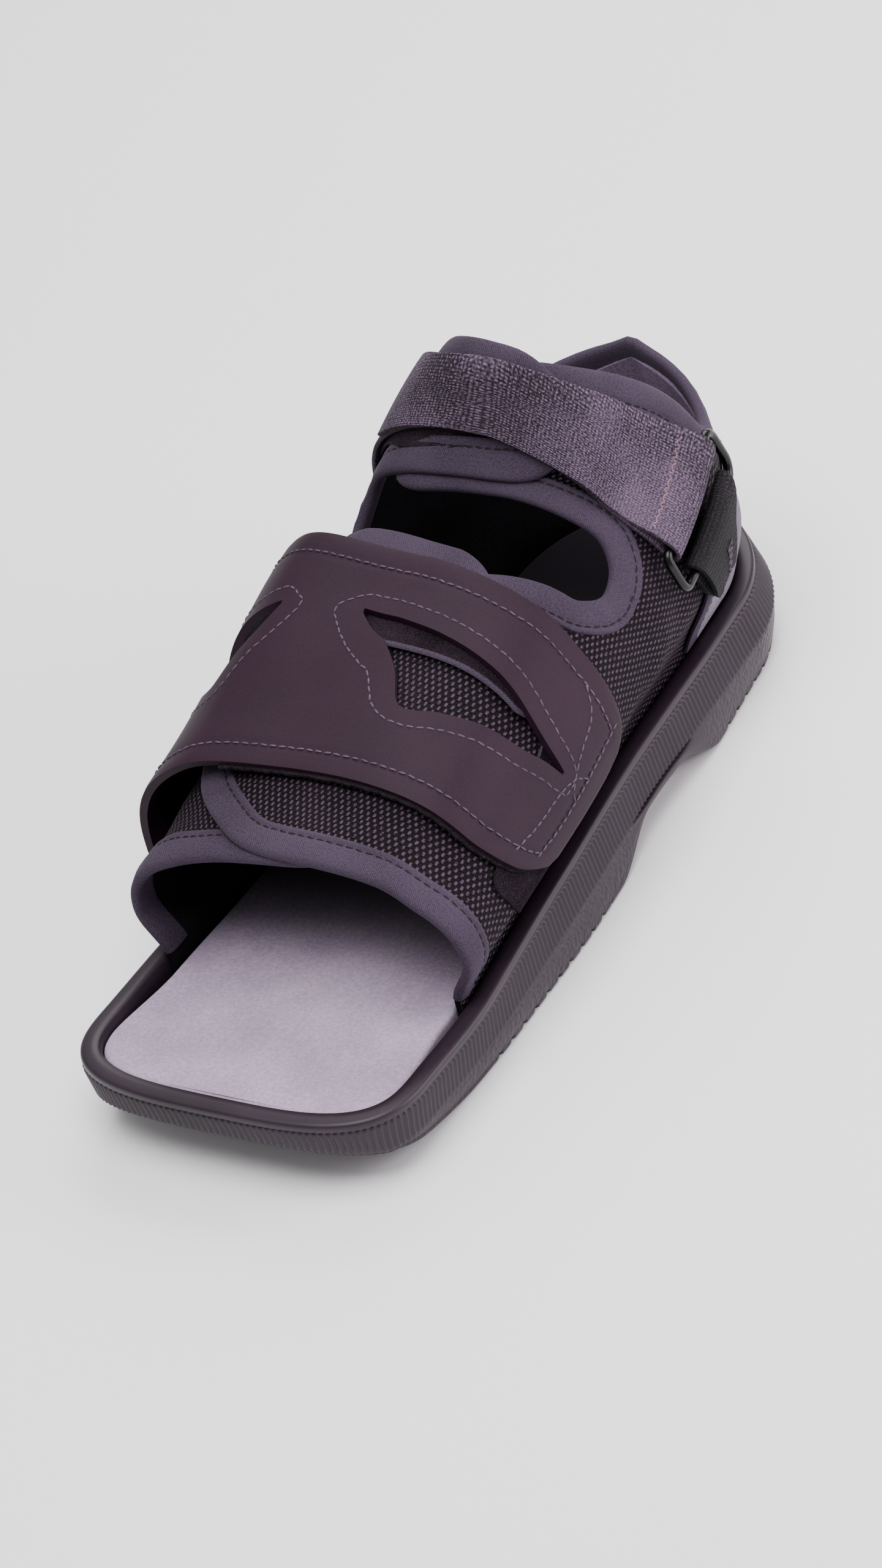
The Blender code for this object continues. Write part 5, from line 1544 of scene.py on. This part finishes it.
    def ring(self) -> None:
        """Rectangular ring, bowed to lie on the ankle."""
        last = self.last
        margin, ends = self.beside / last.length, self.corner / last.length
        bend = self.corner / last.over_girth
        front, back = ANKLE_OUTLINE.rows[0][1] - margin, ANKLE_OUTLINE.rows[0][2] + margin
        places = []
        for over, inward, start, stop in ((self.bar_over, -bend, front, back), (self.low, bend, back, front)):
            run = ends if start < stop else -ends
            angle = np.radians(np.linspace(0, 90, 6))
            places += [(start + run * (1 - math.cos(a)), over + inward * (1 - math.sin(a))) for a in angle]
            places += [(place, over) for place in np.linspace(start + run, stop - run, 12)[1:-1]]
            places += [(stop - run * (1 - math.sin(a)), over + inward * (1 - math.cos(a))) for a in angle]
        marks = np.array(places)
        points = last.place(1.0, marks[:, 0], marks[:, 1], np.full(len(marks), self.bar_lift))
        bpy.ops.object.select_all(action="DESELECT")
        bpy.ops.curve.primitive_nurbs_path_add()
        ring = bpy.context.active_object
        ring.name = "strap_ring_moulded"
        curve = ring.data
        curve.splines.clear()
        spline = curve.splines.new("POLY")
        spline.points.add(len(points) - 1)
        for knot, place in zip(spline.points, points):
            knot.co = (*place, 1.0)
        spline.use_cyclic_u = True
        curve.bevel_depth = self.bar / 2
        curve.bevel_resolution = 5
        select_only(ring)
        bpy.ops.object.convert(target="MESH")
        ring = bpy.context.active_object
        dress(ring, PLASTIC)
        hand_over(ring, "ring_plastic", "strap_ring")

    def tab(self) -> None:
        """Webbing round the ring's lower bar, sewn down with a zigzag."""
        start = TAB_OUTLINE.first()
        seat = self.panel_seat + self.webbing / 2
        overs = np.linspace(start, self.low - 0.10, 30)
        near = ramp(self.low - self.bar_ramp, self.low, overs)
        flat = seat + self.webbing + self.last.gap
        inner = np.stack((overs, seat + (self.bar_lift - self.radius - seat) * near), 1)
        outer = np.stack((overs, flat + (self.bar_lift + self.radius - flat) * near), 1)[::-1]
        path = np.concatenate((inner, self.turn(self.low, -90, 90), outer))
        self.lay("ring_tab_webbing", path, TAB_OUTLINE, 24, TAB, "tab_webbing", "ring_tab")
        rows = np.linspace(start + 0.02, self.low - 0.06, 24)
        near = ramp(self.low - self.bar_ramp, self.low, rows)
        top = flat + (self.bar_lift + self.radius - flat) * near + self.webbing / 2
        zigzag = np.where(np.arange(len(rows)) % 2 == 0, 0.55, 0.75)
        along = TAB_OUTLINE.at(1, rows) + (TAB_OUTLINE.at(2, rows) - TAB_OUTLINE.at(1, rows)) * zigzag
        line = np.hstack((self.last.place(1.0, along, rows, top), self.last.normal(1.0, along, rows)))
        seam = sew("ring_tab_zigzag", [line], THREAD, 2.6 * MM, 0.9)
        hand_over(seam, "tab_webbing")

    def patch(self) -> None:
        """Loop pile on the far flap, whose front edge shows under the strap."""
        last = self.last
        overs = np.linspace(0.93, 1.62, 60)
        front = 0.762 + 0.010 * ramp(1.15, 0.93, overs) + 0.004 * np.sin(overs * 9.0)
        along = front[:, None] + np.linspace(0.0, 0.085, 30)
        over = np.broadcast_to(overs[:, None], along.shape)
        curl = 0.15 * MM * np.sin(np.arange(along.size).reshape(along.shape) * 1.9)
        points = last.place(1.0, along, over, last.overlap + last.wall + 0.45 * MM + curl)
        pile = lay_grid("ankle_pile_patch", points)
        thicken(pile, 0.8 * MM)
        dress(pile, PILE)
        hand_over(pile, "loop_pile")


@dataclass
class CollarPad:
    """Padded lining inside the collar, round the heel, with a seam at its back."""

    last: Last
    start: float = 0.880
    thickness: float = 0.0036
    below_edge: float = 0.03

    def build(self) -> None:
        """Lays a pad of soft section on the inner face of the upper."""
        last = self.last
        around = np.linspace(self.start, 2.0 - self.start, 61)
        top = last.edge_over(1, fold_back(around)) - self.below_edge
        rows = []
        from_end = np.minimum(around - self.start, 2.0 - self.start - around)
        ends = ramp(0.0, 0.06, from_end)
        depth = 0.13 + 0.49 * ramp(0.0, 0.085, from_end)
        seam = 1.0 - 0.65 * hill(1.0, 0.006, around)
        for t in np.linspace(0.0, 1.0, 15):
            over = top - depth * (1 - t)
            puff = self.thickness * math.sin(math.pi * min(max(t, 0.02), 0.98)) ** 0.55
            rows.append(last.round_place(around, over, -0.35 * MM - puff * ends * seam))
        for t in np.linspace(1.0, 0.0, 5):
            rows.append(last.round_place(around, top - depth * (1 - t), np.full(len(around), -0.15 * MM)))
        pad = lay_grid("collar_pad_lining", np.stack(rows)[:, ::-1])
        edit(pad, outwards)
        # Painted light: the pad takes the lighter, lit copy of the lining
        dress(pad, LINING_PAINTED_LIGHT)
        hand_over(pad, "upper_mesh")


@dataclass
class Studio:
    """Pale floor, soft lights and the camera of the photograph."""

    last: Last
    eye: tuple = (1.01127, -1.07146, 1.20733)   # from the middle of the toe, on the floor
    azimuth: float = 39.8457
    elevation: float = 36.6236
    roll: float = -16.3409
    lens: float = 151.995

    def build(self) -> None:
        """Sets up floor, lights, world and camera."""
        bpy.ops.object.select_all(action="DESELECT")
        bpy.ops.mesh.primitive_plane_add(size=8.0)
        floor = bpy.context.active_object
        floor.name = "studio_floor"
        paint = bpy.data.materials.new("studio_floor_paper")
        paint.use_nodes = True
        paint.node_tree.nodes["Principled BSDF"].inputs["Base Color"].default_value = linear("#F4F3F4")
        paint.node_tree.nodes["Principled BSDF"].inputs["Roughness"].default_value = 0.95
        floor.data.materials.append(paint)
        self.light("key_softbox", (0.15, -0.28, 1.22), 0.9, 24.0)
        self.light("back_softbox", (-0.3, 0.95, 0.9), 0.8, 13.0)
        self.light("side_softbox", (1.1, 0.50, 0.50), 0.8, 16.0, (1.0, 0.92, 0.98))
        world = bpy.data.worlds.new("studio_world")
        world.use_nodes = True
        world.node_tree.nodes["Background"].inputs[0].default_value = (1.0, 0.985, 1.0, 1.0)
        world.node_tree.nodes["Background"].inputs[1].default_value = 0.5
        bpy.context.scene.world = world
        self.camera()

    def light(self, name: str, place: tuple, size: float, watts: float,
              tint: tuple = (1.0, 1.0, 1.0)) -> None:
        """Adds a square soft light that points at the shoe."""
        bpy.ops.object.light_add(type="AREA", location=place)
        lamp = bpy.context.active_object
        lamp.name = name
        lamp.data.size = size
        lamp.data.energy = watts
        lamp.data.color = tint
        aim = Vector((0.0, 0.0, 0.05)) - Vector(place)
        lamp.rotation_euler = aim.to_track_quat("-Z", "Y").to_euler()

    def camera(self) -> None:
        """Adds the camera at the photograph's place, angle and roll."""
        azimuth, elevation, roll = (math.radians(a) for a in (self.azimuth, self.elevation, self.roll))
        back = Vector((math.sin(azimuth) * math.cos(elevation), -math.cos(azimuth) * math.cos(elevation),
                       math.sin(elevation)))
        right = Vector((math.cos(azimuth), math.sin(azimuth), 0.0))
        up = back.cross(right)
        right_rolled = math.cos(roll) * right + math.sin(roll) * up
        up_rolled = -math.sin(roll) * right + math.cos(roll) * up
        data = bpy.data.cameras.new("photo_camera")
        data.sensor_fit = "VERTICAL"
        data.sensor_height = 36.0
        data.lens = self.lens
        data.clip_start = 0.05
        camera = bpy.data.objects.new("photo_camera", data)
        bpy.context.scene.collection.objects.link(camera)
        turn = Matrix((right_rolled, up_rolled, back)).transposed().to_4x4()
        camera.matrix_world = Matrix.Translation(Vector(self.last.origin) + Vector(self.eye)) @ turn
        bpy.context.scene.camera = camera


def main() -> None:
    """Builds the studio and the shoe in order."""
    logging.basicConfig(level=logging.INFO, format="%(message)s")
    Studio(LAST).build()
    Outsole(LAST).build()
    Footbed(LAST).build()
    Upper(LAST).build()
    strap = ForefootStrap(LAST)
    LoopPanel(LAST, strap).build()
    strap.build()
    Quarters(LAST).build()
    AnkleFastening(LAST).build()
    CollarPad(LAST).build()


if __name__ == "__main__":
    main()
